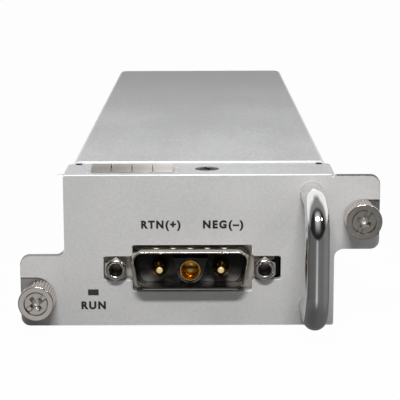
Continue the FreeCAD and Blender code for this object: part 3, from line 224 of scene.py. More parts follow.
def zinc_finish(name, dark, light, rough, shine, edge, fold=None, ears=False):
    """Zinc skin, with painted shade that darkens it towards its far end. In front of a line across the sheet,
    at edge millimetres, a painted highlight makes its cut edge nearly white. Beyond fold millimetres to
    either side, along the top, a painted highlight pales the skin where it turns over the fold. On a sheet
    with ears, the bare metal round the thumbscrews is darker, partly its own metal and partly painted shade,
    and the right ear is painted darker than the left."""
    zinc = Finish(name, Metallic=shine)
    frost = zinc.cells(0.55)
    grain = zinc.noise(0.5, 4)
    cloud = zinc.noise(26, 3, (1, 0.6, 1))
    rolled = zinc.noise(3.0, 2, (1, 0.08, 1))
    tone = frost * 0.17 + grain * 0.34 + cloud * 0.42 + rolled * 0.07
    skin = zinc.mix(tone.ramp(0.38, 0.62), dark, light)
    # Painted shade: the skin darkens towards the far end of the case.
    far = zinc.axis("Y").ramp(-40, 110)
    skin = zinc.mix(far * 0.8, skin, grey(0.39, -0.004))
    # Painted highlight: a nearly white line along the front cut edge.
    edge_highlight = 1 - zinc.axis("Y").ramp(edge - 0.05, edge + 0.05)
    skin = zinc.mix(edge_highlight * (0.7 + grain * 0.6), skin, grey(0.97))
    if fold:
        # Painted highlight along the top, where the sheet turns down over its side fold.
        fold_highlight = abs(zinc.axis("X")).ramp(fold - 0.15, fold + 0.15)
        fold_highlight = fold_highlight * zinc.axis("Z").ramp(cover_top - 1.5, cover_top - 0.7)
        skin = zinc.mix(fold_highlight * (0.5 + cloud * 0.4), skin, grey(0.84, -0.01))
    if ears:
        # Partly the bare metal's own tone and partly painted shade: the ears round the thumbscrews are
        # painted dark, the right ear darker than the left.
        side = zinc.axis("X")
        left, right = ((side * way).ramp(EAR_ROOT - 0.1, EAR_ROOT + 0.1) for way in (-1, 1))
        skin = zinc.mix(left, skin, grey(0.26))
        skin = zinc.mix(right * (0.6 + tone * 0.8), skin, zinc.mix(edge_highlight, grey(0.045), grey(0.12)))
    zinc.paint(
        Base_Color=skin,
        Roughness=grain * 0.16 + cloud * 0.08 + rough,
    ).bump(grain * 0.7 + frost * 0.3, 0.025, 0.3)
    return zinc


cover_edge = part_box("top_cover")[0].y / MM + 0.12
panel_edge = panel_low.y / MM + 0.1
cover_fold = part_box("top_cover")[1].x / MM - 0.85
galvanised = zinc_finish("galvanised_sheet", grey(0.485, -0.004), grey(0.625, -0.004), 0.44, 0.4,
                         cover_edge, fold=cover_fold)
plated = zinc_finish("plated_panel", grey(0.52, -0.006), grey(0.645, -0.006), 0.42, 0.4,
                     panel_edge, ears=True)

# %% [markdown]
# Chrome, nickel, tin and gold are all plain metals. What tells them apart is the tint, how sharp the
# reflection is, and the marks the tool left: rings on turned faces, fine lines on drawn ones.

# %% Bright and turned metals


def metal(name, dark, light, rough, spread=0.1, grain=0.6, stretch=(1, 1, 1), depth=0.01, strength=0.2):
    """A plated metal with a little unevenness in tint and polish."""
    made = Finish(name, Metallic=1.0)
    fine = made.noise(grain, 3, stretch)
    slow = made.noise(grain * 9, 2)
    made.paint(
        Base_Color=made.tint(fine, slow, dark, light),
        Roughness=fine * spread + slow * spread + rough,
    ).bump(fine, depth, strength)
    return made


chrome = metal("bright_chrome", grey(0.78, 0.004), grey(0.86, 0.004), 0.04, 0.03, 2.5,
               depth=0.004, strength=0.05)
nickel = metal("turned_nickel", (0.66, 0.612, 0.567, 1), (0.745, 0.69, 0.64, 1), 0.10, 0.05, 0.25,
               depth=0.003, strength=0.1)
dark_screw = metal("dark_screw", grey(0.016, 0.02), grey(0.03, 0.03), 0.24, 0.12, 0.4)
dark_screw.shader.inputs["Specular Tint"].default_value = grey(0.75)
steel = metal("zinc_screw", grey(0.46), grey(0.58), 0.28, 0.1, 0.4)

# %% [markdown]
# The plug's shell is tinned and bright on its skirt, and satin on the flange behind it. The five pressed
# dents along its top get a painted highlight, so they look pale on the darker skirt: the distance to the
# nearest dent comes from a Ping-Pong node, which folds the X coordinate back and forth between the dents.
# The lower front edge is painted nearly black, as a painted dark reflection.

# %% Tinned shell
plug = middle("connector_shell")
rim_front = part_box("connector_shell")[0].y / MM
DENT_STEP = 3.82
DENT_PLACE = rim_front + 2.75
tinned = Finish("tinned_shell")
drawn = tinned.noise(0.9, 3, (1, 0.15, 1))
slow = tinned.noise(8, 2)
from_plug = tinned.axis("X") - plug.x / MM
above_plug = tinned.axis("Z") - plug.z / MM
to_dent = from_plug.maths("PINGPONG", from_plug, DENT_STEP / 2)
behind = tinned.axis("Y") - DENT_PLACE
# Painted highlight: the dents are painted pale and matt.
dent_highlight = 1 - (to_dent * to_dent + behind * behind * 1.4).ramp(0.15, 0.6)
dent_highlight = dent_highlight * (1 - (from_plug * from_plug).ramp(70, 76)) * above_plug.ramp(3.4, 3.6)
flat = tinned.axis("Y").ramp(rim_front + 5.3, rim_front + 5.7)
# Painted dark reflection: the lower front rim is painted nearly black.
dark_rim_reflection = above_plug.ramp(-4.14, -4.1) * (1 - above_plug.ramp(-3.6, -3.4))
dark_rim_reflection = dark_rim_reflection * (1 - tinned.axis("Y").ramp(rim_front + 0.25, rim_front + 0.4))
bare = tinned.tint(drawn, slow, grey(0.53, 0.06), grey(0.65, 0.07))
tinned.paint(
    Base_Color=tinned.mix(dark_rim_reflection, tinned.mix(dent_highlight + flat * 0.5, bare, grey(0.88, 0.045)), grey(0.02)),
    Metallic=1 - dent_highlight * 0.8 - flat * 0.35,
    Roughness=drawn * 0.07 + slow * 0.07 + flat * 0.26 + dent_highlight * 0.3 + dark_rim_reflection * 0.4 + 0.06,
).bump(drawn, 0.006, 0.12)

# %% [markdown]
# The contacts are gold. The noses of the two pins get a painted highlight, so these are paler than the rest.

# %% Gold
gold = Finish("gold_contact", Metallic=1.0)
fine = gold.noise(0.4, 3)
slow = gold.noise(3.6, 2)
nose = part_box("power_pins")[0].y / MM
# Painted highlight: the pins' noses are painted pale and matt.
nose_highlight = 1 - gold.axis("Y").ramp(nose + 0.06, nose + 0.25)
from_socket = gold.axis("X") - plug.x / MM
nose_highlight = nose_highlight * (from_socket * from_socket).ramp(12, 16)
plating = gold.tint(fine, slow, (0.70, 0.42, 0.11, 1), (0.85, 0.55, 0.18, 1))
gold.paint(
    Base_Color=gold.mix(nose_highlight, plating, (1.0, 0.78, 0.40, 1)),
    Metallic=1 - nose_highlight * 0.5,
    Roughness=fine * 0.05 + slow * 0.05 + nose_highlight * 0.2 + 0.06,
).bump(fine, 0.006, 0.1)

# %% [markdown]
# The thumbscrews' driven ends are nickel too. The walls of a recess are satin, and round the middle of
# the cross a painted highlight makes the metal nearly white. The two screws sit at mirrored X and
# different heights, so the mask takes the size of X without its sign, and its height from the sign.

# %% Screw nickel
screw_nickel = Finish("screw_nickel")
fine = screw_nickel.noise(0.3, 3)
slow = screw_nickel.noise(2.7, 2)
left_axis, right_axis = middle("left_screw") / MM, middle("right_screw") / MM
aside = abs(screw_nickel.axis("X")) - right_axis.x
rise = screw_nickel.axis("X").ramp(-1, 1) * (right_axis.z - left_axis.z)
above = screw_nickel.axis("Z") - rise - left_axis.z + 0.25
# Painted highlight: the middle of the cross is painted nearly white.
recess_highlight = 1 - (aside * aside + above * above).ramp(0.04, 0.28)
screw_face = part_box("left_screw")[0].y / MM
deep = screw_nickel.axis("Y").ramp(screw_face + 0.8, screw_face + 1.2)
screw_nickel.paint(
    Base_Color=screw_nickel.mix(
        recess_highlight * 0.9,
        screw_nickel.tint(fine, slow, grey(0.62, 0.045), grey(0.71, 0.05)),
        grey(0.95, 0.01)),
    Metallic=1 - recess_highlight * 0.7,
    Roughness=fine * 0.05 + slow * 0.05 + deep * 0.26 + 0.14,
).bump(fine, 0.003, 0.1)

# %% [markdown]
# The lock screws are nickel like the knobs, and their tapped holes are painted dark, as painted shade.

# %% Lock screw nickel
JACK_SPACING = 33.32
jack_nickel = Finish("jack_nickel", Metallic=1.0)
fine = jack_nickel.noise(0.25, 3)
aside = abs(jack_nickel.axis("X") - plug.x / MM) - JACK_SPACING / 2
above = jack_nickel.axis("Z") - plug.z / MM
# Painted shade inside the tapped holes.
hole_shade = 1 - (aside * aside + above * above).ramp(1.5, 2.0)
jack_nickel.paint(
    Base_Color=jack_nickel.mix(
        hole_shade * 0.85,
        jack_nickel.mix(fine, grey(0.58, 0.05), grey(0.68, 0.055)),
        grey(0.04, 0.05)),
    Roughness=fine * 0.08 + hole_shade * 0.15 + 0.10,
).bump(fine, 0.003, 0.1)

# %% [markdown]
# The contact fingers are bright spring strip. In the photograph they go from brown on the left to pale
# gold on the right, as each leaf catches the light differently, so a painted reflection follows the X
# coordinate, with a streak of handling along each leaf.

# %% Spring strip
spring = Finish("spring_strip", Metallic=0.6)
streak = spring.noise(1.2, 3, (1, 0.3, 1))
# Painted reflection: the leaves go from dark brown on the left to pale gold on the right.
along = spring.axis("X").ramp(-25, -6)
tint = spring.mix(along * along, (0.336, 0.318, 0.295, 1), (0.745, 0.72, 0.68, 1))
spring.paint(
    Base_Color=spring.mix(streak * 0.15, tint, (0.62, 0.59, 0.55, 1)),
    Roughness=streak * 0.12 + 0.42,
).bump(streak, 0.008, 0.2)

# %% [markdown]
# The plug's insulator is a glossy black moulding. Its lower half is lit past the shell's top wall, so
# soft grey patches of painted light come in below the middle of the plug.

# %% Black insulator
insulator = Finish("black_insulator", Metallic=0.0, Specular_IOR_Level=0.2)
skin = insulator.noise(0.3, 3)
patch = insulator.noise(2.6, 2)
# Painted light: soft grey patches on the lower half of the insulator.
painted_lower_light = (1 - insulator.axis("Z").ramp(9, 15.5)) * patch.ramp(0.3, 0.62)
insulator.paint(
    Base_Color=insulator.mix(painted_lower_light, grey(0.006), grey(0.11, 0.006)),
    Roughness=skin * 0.14 + painted_lower_light * 0.2 + 0.34,
).bump(skin, 0.01, 0.2)

# %% [markdown]
# The other plastics, ceramics and lacquers differ only in colour, gloss and grain, so one function makes
# them all. Most of them are inside the case, where only an open or cut model shows them.

# %% Moulded plastics and the rest of the circuit


def moulded(name, dark, light, rough, grain=0.3, depth=0.01, strength=0.25, **constants):
    """A plastic, ceramic or lacquer with a fine skin."""
    made = Finish(name, Metallic=0.0, **constants)
    fine = made.noise(grain, 3)
    slow = made.noise(grain * 14, 2)
    made.paint(
        Base_Color=made.mix((fine * 0.6 + slow * 0.4).ramp(0.3, 0.7), dark, light),
        Roughness=fine * 0.14 + rough,
    ).bump(fine, depth, strength)
    return made


ink = moulded("legend_ink", grey(0.006), grey(0.012), 0.5)
smoked = moulded("lamp_window", grey(0.014), grey(0.028), 0.22, Coat_Weight=0.2)
nylon = moulded("white_nylon", grey(0.66, 0.01), grey(0.74, 0.01), 0.4)
pale = moulded("lamp_case", grey(0.62, 0.02), grey(0.70, 0.02), 0.3)
board = moulded("board_lacquer", (0.012, 0.085, 0.035, 1), (0.02, 0.12, 0.05, 1), 0.3, 0.9)
clear_sheet = moulded("insulating_film", (0.50, 0.47, 0.34, 1), (0.60, 0.56, 0.42, 1), 0.25, 1.5)
ceramic = moulded("fuse_ceramic", grey(0.62, 0.03), grey(0.70, 0.03), 0.35)
dipped = moulded("surge_coat", (0.015, 0.05, 0.22, 1), (0.025, 0.07, 0.30, 1), 0.3, 0.8)
ferrite = moulded("ferrite_coat", (0.02, 0.05, 0.03, 1), (0.035, 0.07, 0.045, 1), 0.45, 0.6)
boxed = moulded("capacitor_box", (0.42, 0.24, 0.02, 1), (0.52, 0.31, 0.03, 1), 0.35, 0.6)
sleeve = moulded("capacitor_sleeve", grey(0.02), grey(0.035), 0.3, 0.8)
potted = moulded("converter_case", grey(0.025), grey(0.045), 0.45, 0.5)
copper = metal("copper_wire", (0.45, 0.15, 0.05, 1), (0.60, 0.22, 0.08, 1), 0.25, 0.1, 0.7, (1, 1, 0.1))
alloy = metal("heatsink_alloy", grey(0.32), grey(0.42), 0.35, 0.1, 0.6, (1, 0.1, 1))

# %% [markdown]
# Each CAD node gets its finish in its material slot. The list at the end shows any node that was missed.

# %% Give every CAD node its finish
finishes = {
    film: ["panel_overlay"],
    galvanised: ["tray", "top_cover"],
    plated: ["front_panel"],
    chrome: ["handle"],
    nickel: ["left_knob", "right_knob"],
    jack_nickel: ["jackscrews"],
    screw_nickel: ["left_screw", "right_screw"],
    tinned: ["connector_shell"],
    gold: ["power_pins", "return_socket", "backplane_contacts"],
    dark_screw: ["cover_screws", "flange_screw", "connector_brackets"],
    steel: ["handle_screws", "standoffs", "board_screws"],
    spring: ["finger_strip", "fuse_clips"],
    insulator: ["connector_body", "backplane_housing"],
    smoked: ["light_pipe"],
    nylon: ["left_washer", "right_washer"],
    pale: ["run_lamp"],
    board: ["circuit_board"],
    clear_sheet: ["insulating_sheet"],
    ceramic: ["input_fuse"],
    dipped: ["surge_absorbers"],
    ferrite: ["choke_core"],
    boxed: ["film_capacitors"],
    sleeve: ["bulk_capacitors", "output_capacitors"],
    potted: ["converter_module"],
    copper: ["choke_windings"],
    alloy: ["converter_heatsink"],
}
for finish, names in finishes.items():
    for name in names:
        slots = nodes[name].data.materials
        slots.clear()
        slots.append(finish.material)
missing = set(nodes) - {name for names in finishes.values() for name in names}
print("finishes:", len(finishes), "nodes left plain:", sorted(missing))

# %% [markdown]
# Tools for the finer pieces. A turned piece is an outline spun round an axis. A piece in the row frame
# that points to the front is drawn upright and laid over with one matrix, which goes into its mesh. Rings
# and rows of points are bridged with faces, and a modifier's result is taken as a plain mesh.

# %% Mesh tools


def to_front(x, y, z, turn=0.0):
    """Lays a piece drawn upright along +Z so that it points to the front, with its base at a point."""
    spin = Matrix.Rotation(turn, 4, "Z")
    return Matrix.Translation((x, y, z)) @ Matrix.Rotation(math.pi / 2, 4, "X") @ spin


def smooth(mesh, angle=32):
    """Smooth shading that keeps the edges sharper than an angle in degrees."""
    mesh.shade_smooth()
    mesh.set_sharp_from_angle(angle=math.radians(angle))
    return mesh


def as_mesh(bm):
    """Turns a bmesh into a mesh."""
    mesh = bpy.data.meshes.new("work")
    bm.to_mesh(mesh)
    bm.free()
    return mesh


def finished(bm):
    """Turns a bmesh into a smooth mesh with its faces outwards."""
    bmesh.ops.remove_doubles(bm, verts=bm.verts, dist=1e-7)
    bmesh.ops.recalc_face_normals(bm, faces=bm.faces)
    return smooth(as_mesh(bm))


def bridge(bm, low, high, closed=True):
    """Faces between two rings of points, or between two rows where they aren't closed."""
    for step in range(len(low) if closed else len(low) - 1):
        after = (step + 1) % len(low)
        bm.faces.new((low[step], low[after], high[after], high[step]))


def line_mesh(points):
    """Edges along a line of points, for a tree to sweep a profile along."""
    bm = bmesh.new()
    verts = [bm.verts.new(point) for point in points]
    for first, second in zip(verts, verts[1:]):
        bm.edges.new((first, second))
    return as_mesh(bm)


def spun(outline, steps=72, reach=None):
    """Spins a closed outline of (radius, height) in millimetres about +Z. reach(angle, radius, height)
    may change the radius, as for a hexagon."""
    bm = bmesh.new()
    rings = []
    for radius, height in outline:
        if radius == 0:
            rings.append([bm.verts.new((0, 0, height * MM))])
            continue
        ring = []
        for step in range(steps):
            angle = math.tau * step / steps
            size = reach(angle, radius, height) if reach else radius
            x, y = size * math.cos(angle), size * math.sin(angle)
            ring.append(bm.verts.new((x * MM, y * MM, height * MM)))
        rings.append(ring)
    for low, high in zip(rings, rings[1:] + rings[:1]):
        for step in range(steps):
            after = (step + 1) % steps
            corners = []
            for ring, index in ((low, step), (low, after), (high, after), (high, step)):
                vert = ring[index % len(ring)]
                if vert not in corners:
                    corners.append(vert)
            if len(corners) > 2:
                bm.faces.new(corners)
    return finished(bm)


def place_piece(name, mesh, finish, body, slot, *replaced):
    """Puts a finished mesh into the scene: it rides on a body and may stand for CAD nodes. Its normals are
    weighted by area, so that a flat face stays flat beside a narrow bevel."""

    def even(item):
        weigh = item.modifiers.new("even", "WEIGHTED_NORMAL")
        weigh.keep_sharp = True

    mesh = evaluated(mesh, even)
    mesh.name = name
    mesh.materials.clear()
    mesh.materials.append(finish.material)
    item = bpy.data.objects.new(name, mesh)
    bpy.context.scene.collection.objects.link(item)
    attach(item, body)
    if replaced:
        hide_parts(*replaced)
    print(name, "faces:", len(mesh.polygons), "stands for:", replaced)
    return item


def evaluated(data, modify=None):
    """A mesh or a text with its modifiers, as a plain mesh."""
    item = bpy.data.objects.new("work", data)
    bpy.context.scene.collection.objects.link(item)
    helpers = (modify(item) if modify else None) or []
    bpy.context.view_layer.update()
    result = bpy.data.meshes.new_from_object(item.evaluated_get(bpy.context.evaluated_depsgraph_get()))
    for thing in [item] + helpers:
        bpy.data.objects.remove(thing)
    return result


def joined(*meshes):
    """Several meshes as one."""
    bm = bmesh.new()
    for mesh in meshes:
        bm.from_mesh(mesh)
    return smooth(as_mesh(bm))


def carved(mesh, *cutters):
    """Cuts closed meshes out of a mesh."""

    def modify(item):
        helpers = []
        for cutter in cutters:
            tool = bpy.data.objects.new("cutter", cutter)
            bpy.context.scene.collection.objects.link(tool)
            tool.hide_render = True
            cut = item.modifiers.new("cut", "BOOLEAN")
            cut.operation = "DIFFERENCE"
            cut.solver = "EXACT"
            cut.object = tool
            helpers.append(tool)
        return helpers

    return smooth(evaluated(mesh, modify))


# %% [markdown]
# Whatever repeats comes from Geometry Nodes. Four small trees do it all: copies round an axis for the
# knurl, copies in a row for the contact fingers, a ridge with four sides swept along a spiral for a
# thread, and a round rod swept along a line. Each has named inputs, and ends in Realize Instances and Set
# Material so that the result is plain mesh.

# %% Trees for what repeats


class Tree(Nodes):
    """A geometry node group with named inputs."""

    def __init__(self, name, inputs):
        self.group = bpy.data.node_groups.new(name, "GeometryNodeTree")
        super().__init__(self.group)
        face = self.group.interface
        face.new_socket("Geometry", in_out="INPUT", socket_type="NodeSocketGeometry")
        self.keys = {}
        for label, (kind, value) in inputs.items():
            socket = face.new_socket(label, in_out="INPUT", socket_type="NodeSocket" + kind)
            if value is not None:
                socket.default_value = value
            self.keys[label] = socket.identifier
        face.new_socket("Geometry", in_out="OUTPUT", socket_type="NodeSocketGeometry")
        self.start = self.add("NodeGroupInput")

    def given(self, label):
        return Field(self, self.start.outputs[label])

    def close(self, geometry):
        real = self.field("GeometryNodeRealizeInstances", {0: geometry})
        skin = self.field("GeometryNodeSetMaterial", {"Geometry": real, "Material": self.given("Material")})
        self.add("NodeGroupOutput", {0: skin})

    def copy_to(self, points, letter, angle):
        """Ends the tree with a copy of its geometry on each point, turned about one axis."""
        angles = self.field("ShaderNodeCombineXYZ", {letter: angle})
        turn = self.field("FunctionNodeEulerToRotation", {0: angles})
        self.close(self.field("GeometryNodeInstanceOnPoints", {
            "Points": points, "Instance": self.given("Geometry"), "Rotation": turn}))

    def sweep(self, curve, sides, radius):
        """Ends the tree with a profile of so many sides swept along a curve."""
        profile = self.field("GeometryNodeCurvePrimitiveCircle", {
            "Resolution": sides, "Radius": radius}, mode="RADIUS")
        self.close(self.field("GeometryNodeCurveToMesh", {
            "Curve": curve, "Profile Curve": profile, "Fill Caps": True}))

    def run(self, mesh, finish, **values):
        """The tree's result on a mesh, as a plain mesh."""

        def modify(item):
            modifier = item.modifiers.new("tree", "NODES")
            modifier.node_group = self.group
            modifier[self.keys["Material"]] = finish.material
            for label, value in values.items():
                modifier[self.keys[label]] = value

        return smooth(evaluated(mesh, modify))


ring_tree = Tree("copies_round_axis", {"Copies": ("Int", 12), "Material": ("Material", None)})
copies = ring_tree.given("Copies")
order = ring_tree.field("GeometryNodeInputIndex")
points = ring_tree.field("GeometryNodePoints", {"Count": copies})
ring_tree.copy_to(points, "Z", order.maths("DIVIDE", order, copies) * math.tau)

row_tree = Tree("copies_in_a_row", {
    "Copies": ("Int", 4), "Step": ("Vector", None), "Tilt": ("Float", 0.0), "Seed": ("Int", 3),
    "Material": ("Material", None)})
points = row_tree.field("GeometryNodeMeshLine", {
    "Count": row_tree.given("Copies"), "Offset": row_tree.given("Step")}, mode="OFFSET")
tilt = row_tree.given("Tilt")
lean = row_tree.field("FunctionNodeRandomValue", {
    2: tilt * -1, 3: tilt, "Seed": row_tree.given("Seed")}, 1, data_type="FLOAT")
row_tree.copy_to(points, "X", lean)

thread_tree = Tree("thread_on_a_spiral", {
    "Turns": ("Float", 6.0), "Radius": ("Float", 0.001), "Height": ("Float", 0.003),
    "Ridge": ("Float", 0.0002), "Material": ("Material", None)})
radius = thread_tree.given("Radius")
spiral = thread_tree.field("GeometryNodeCurveSpiral", {
    "Resolution": 36, "Rotations": thread_tree.given("Turns"), "Start Radius": radius,
    "End Radius": radius, "Height": thread_tree.given("Height")})
thread_tree.sweep(spiral, 4, thread_tree.given("Ridge"))

rod_tree = Tree("rod_along_a_line", {
    "Radius": ("Float", 0.001), "Sides": ("Int", 64), "Material": ("Material", None)})
line = rod_tree.field("GeometryNodeMeshToCurve", {0: rod_tree.given("Geometry")})
rod_tree.sweep(line, rod_tree.given("Sides"), rod_tree.given("Radius"))
print("trees:", [tree.group.name for tree in (ring_tree, row_tree, thread_tree, rod_tree)])


def thread(finish, turns, radius, height, ridge, base):
    """A thread that winds up from a base, in millimetres."""
    none = bpy.data.meshes.new("none")
    wound = thread_tree.run(
        none, finish, Turns=turns, Radius=radius * MM, Height=height * MM, Ridge=ridge * MM)
    wound.transform(Matrix.Translation((0, 0, base * MM)))
    return wound


# %% [markdown]
# The handle is one chrome rod with two tight bends, swept along its centre line. The line has a point
# every few degrees in the bends, because chrome shows any facet.

# %% The handle
handle_low, handle_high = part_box("handle")
rod = (handle_high.x - handle_low.x) / 2
handle_x = middle("handle").x
leg_low = handle_low.z + rod
leg_high = handle_high.z - rod
grip_y = handle_low.y + rod
bend = 7.0 * MM
BEND_STEPS = 28


def handle_line():
    """The rod's centre line from the lower leg's foot to the upper one."""
    line = [Vector((handle_x, handle_high.y, leg_low))]
    for step in range(BEND_STEPS + 1):
        angle = math.pi / 2 * step / BEND_STEPS
        line.append(Vector((handle_x, grip_y + bend * (1 - math.sin(angle)),
                            leg_low + bend * (1 - math.cos(angle)))))
    upper = [Vector((p.x, p.y, leg_low + leg_high - p.z)) for p in reversed(line)]
    return line + upper


whole = rod_tree.run(line_mesh(handle_line()), chrome, Radius=rod)
place_piece("chrome_handle", whole, chrome, "case", "bright_chrome", "handle")

# %% [markdown]
# Each thumbscrew is a knurled nickel knob pressed on a screw, whose head lies in the knob's front. The
# knob is spun, and a rib with rounded flanks is copied round it.

# %% Knobs with a straight knurl
KNOB_RIBS = 36
KNOB_ROOT = 3.74
KNOB_TOP = 3.95
KNOB_OUTLINE = [
    (1.55, 0.0), (3.5, 0.0), (KNOB_ROOT, 0.22), (KNOB_ROOT, 6.2), (3.84, 6.34), (3.92, 6.4),
    (KNOB_TOP, 6.46), (KNOB_TOP, 6.54), (3.94, 6.6), (3.91, 6.67), (3.86, 6.74), (3.8, 6.78), (3.73, 6.8),
    (3.69, 6.8), (2.74, 6.8), (2.7, 6.8), (2.66, 6.78), (2.64, 6.74), (2.64, 5.8), (1.55, 5.8),
]
RIB = ((-0.29, 0.0), (-0.25, 0.72), (-0.2, 1.0), (0.2, 1.0), (0.25, 0.72), (0.29, 0.0))


def knurl_rib():
    """One rib of the knurl, drawn at its place on the knob."""
    bm = bmesh.new()
    sections = []
    for height, size in ((0.12, 0.3), (0.36, 1.0), (6.34, 1.0), (6.44, 0.9)):
        ring = []
        for across, rise in RIB:
            reach = KNOB_ROOT - 0.02 + (KNOB_TOP - KNOB_ROOT + 0.01) * rise * size
            ring.append(bm.verts.new((reach * MM, across * MM, height * MM)))
        sections.append(ring)
    for low, high in zip(sections, sections[1:]):
        bridge(bm, low, high)
    bm.faces.new(sections[0])
    bm.faces.new(sections[-1])
    return finished(bm)


def knob_place(side, turn=0.0):
    """The place of a thumbscrew's pieces, which are drawn upwards from the knob's rear face."""
    knob = middle(side + "_knob")
    return to_front(knob.x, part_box(side + "_knob")[1].y, knob.z, turn)


for side in ("left", "right"):
    ribs = ring_tree.run(knurl_rib(), nickel, Copies=KNOB_RIBS)
    whole = joined(spun(KNOB_OUTLINE, 96), ribs)
    whole.transform(knob_place(side))
    place_piece(side + "_knob_turned", whole, nickel, side + "_thumbscrew", "nickel", side + "_knob")

# %% [markdown]
# A screw is spun in one outline, and three tools are cut out of its face with Boolean modifiers: a slot
# with broken edges, a tapered cross that shares its line, and a round bowl where the arms of the cross
# meet. Their walls catch the light. A tree winds the thread on the screw's end.

# %% Screws with a cross recess


def cross_cutter(reach, width, depth, top):
    """A tapered cross, open at the top, with a pointed middle."""
    bm = bmesh.new()
    arm = width / 2
    corners = [(arm, arm), (arm, reach), (-arm, reach), (-arm, arm), (-reach, arm), (-reach, -arm),
               (-arm, -arm), (-arm, -reach), (arm, -reach), (arm, -arm), (reach, -arm), (reach, arm)]
    rings = []
    for height, grow in ((top + 0.3, 1.03), (top, 1.0), (top - depth * 0.6, 0.82)):
        rings.append([bm.verts.new((x * grow * MM, y * grow * MM, height * MM)) for x, y in corners])
    tip = bm.verts.new((0, 0, (top - depth) * MM))
    for low, high in zip(rings, rings[1:]):
        bridge(bm, low, high)
    for first, second in zip(rings[-1], rings[-1][1:] + rings[-1][:1]):
        bm.faces.new((first, second, tip))
    bm.faces.new(rings[0])
    return finished(bm)


def slot_cutter(reach, width, depth, top, edge):
    """A straight slot across a head, its upper edges broken by a small chamfer."""
    half = width / 2
    section = [(half, -depth), (half, -edge), (half + edge, 0), (half + edge, 1),
               (-half - edge, 1), (-half - edge, 0), (-half, -edge), (-half, -depth)]
    bm = bmesh.new()
    ends = [[bm.verts.new((x * MM, y * MM, (top + z) * MM)) for y, z in section] for x in (-reach, reach)]
    bridge(bm, *ends)
    bm.faces.new(ends[0])
    bm.faces.new(ends[1])
    return finished(bm)


SCREW_TOP = 6.7
THREAD_BASE = -10.8
SCREW_OUTLINE = [
    (0, -11.0), (1.05, -11.0), (1.24, THREAD_BASE), (1.24, -7.7), (1.2, -7.6), (1.2, 0.0), (1.5, 0.0),
    (1.5, 5.8), (2.54, 5.8), (2.54, 6.62), (2.52, 6.68), (2.47, SCREW_TOP), (2.42, SCREW_TOP),
    (0, SCREW_TOP),
]
BOWL_RADIUS = 0.9
BOWL_MIDDLE = 6.1
BOWL_STEPS = 14
BOWL = []
for step in range(BOWL_STEPS + 1):
    turn = 2.3 * step / BOWL_STEPS
    BOWL.append((BOWL_RADIUS * math.sin(turn), BOWL_MIDDLE - BOWL_RADIUS * math.cos(turn)))
BOWL += [(0.67, 6.8), (0, 6.8)]
SLOT_ANGLES = {"left": 38, "right": 63}
for side in ("left", "right"):
    head = carved(
        spun(SCREW_OUTLINE, 72),
        slot_cutter(reach=3.0, width=0.98, depth=0.6, top=SCREW_TOP, edge=0.13),
        cross_cutter(reach=1.8, width=1.05, depth=1.25, top=SCREW_TOP),
        spun(BOWL, 48))
    whole = joined(head, thread(screw_nickel, 6.2, radius=1.3, height=3.0, ridge=0.2, base=THREAD_BASE))
    whole.transform(knob_place(side, math.radians(SLOT_ANGLES[side])))
    place_piece(side + "_screw_turned", whole, screw_nickel, side + "_thumbscrew", "screw_nickel",
                side + "_screw")

# %% [markdown]
# The plug's shell is drawn from one sheet: a flat flange, a small fillet, a D-shaped skirt and a rolled
# rim. Lofting one D outline through a list of (inset, depth) stations makes all of that in one skin. The
# five dents along the top are pushed in by a smooth function of the distance from each dent's middle.

# %% The plug's shell
shell_low, shell_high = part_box("connector_shell")
FLANGE_WIDTH, FLANGE_HEIGHT, FLANGE_SHEET, FLANGE_ROUND = 39.14, 12.5, 0.8, 0.8
TRIMMED = 0.6
LIP_DEPTH, LIP_REACH, LIP_STEPS = 0.3, 2.4, 24
SHELL_WIDTH = 26.05 + 2 * LIP_DEPTH
SHELL_HEIGHT = 8.64 + 2 * LIP_DEPTH
SHELL_SLOPE = math.radians(10)
SHELL_ROUND = 2.6
DENTS = [DENT_STEP * step for step in (-2, -1, 0, 1, 2)]
DENT_BACK = DENT_PLACE - rim_front
DENT_RADIUS, DENT_DEPTH = 0.72, 0.34
CORNER_STEPS, SIDE_STEPS, TOP_STEPS = 12, 8, 150


def d_outline(inset):
    """Points of the D outline in millimetres round its middle, drawn in by an inset."""
    slope = math.tan(SHELL_SLOPE)
    high = SHELL_HEIGHT / 2 - inset
    corner_out = SHELL_ROUND / math.tan(math.pi / 4 - SHELL_SLOPE / 2) - SHELL_ROUND
    top = SHELL_WIDTH / 2 + corner_out - inset / math.cos(SHELL_SLOPE) - inset * slope
    low = top - 2 * high * slope
    radius = max(SHELL_ROUND - inset, 0.3)
    corners = [Vector((-low, -high)), Vector((low, -high)), Vector((top, high)), Vector((-top, high))]
    line = []
    for index, corner in enumerate(corners):
        before = (corners[index - 1] - corner).normalized()
        after = (corners[(index + 1) % 4] - corner).normalized()
        half = before.angle(after) / 2
        centre = corner + (before + after).normalized() * radius / math.sin(half)
        start = corner + before * radius / math.tan(half) - centre
        end = corner + after * radius / math.tan(half) - centre
        for step in range(CORNER_STEPS + 1):
            share = step / CORNER_STEPS
            line.append(centre + (start * (1 - share) + end * share).normalized() * radius)
    split = []
    corner_points = CORNER_STEPS + 1
    for index, point in enumerate(line, 1):
        split.append(point)
        following = line[index % len(line)]
        count = 1 if index % corner_points else SIDE_STEPS
        if index == 3 * corner_points:
            count = TOP_STEPS
        for step in range(1, count):
            split.append(point.lerp(following, step / count))
    return split


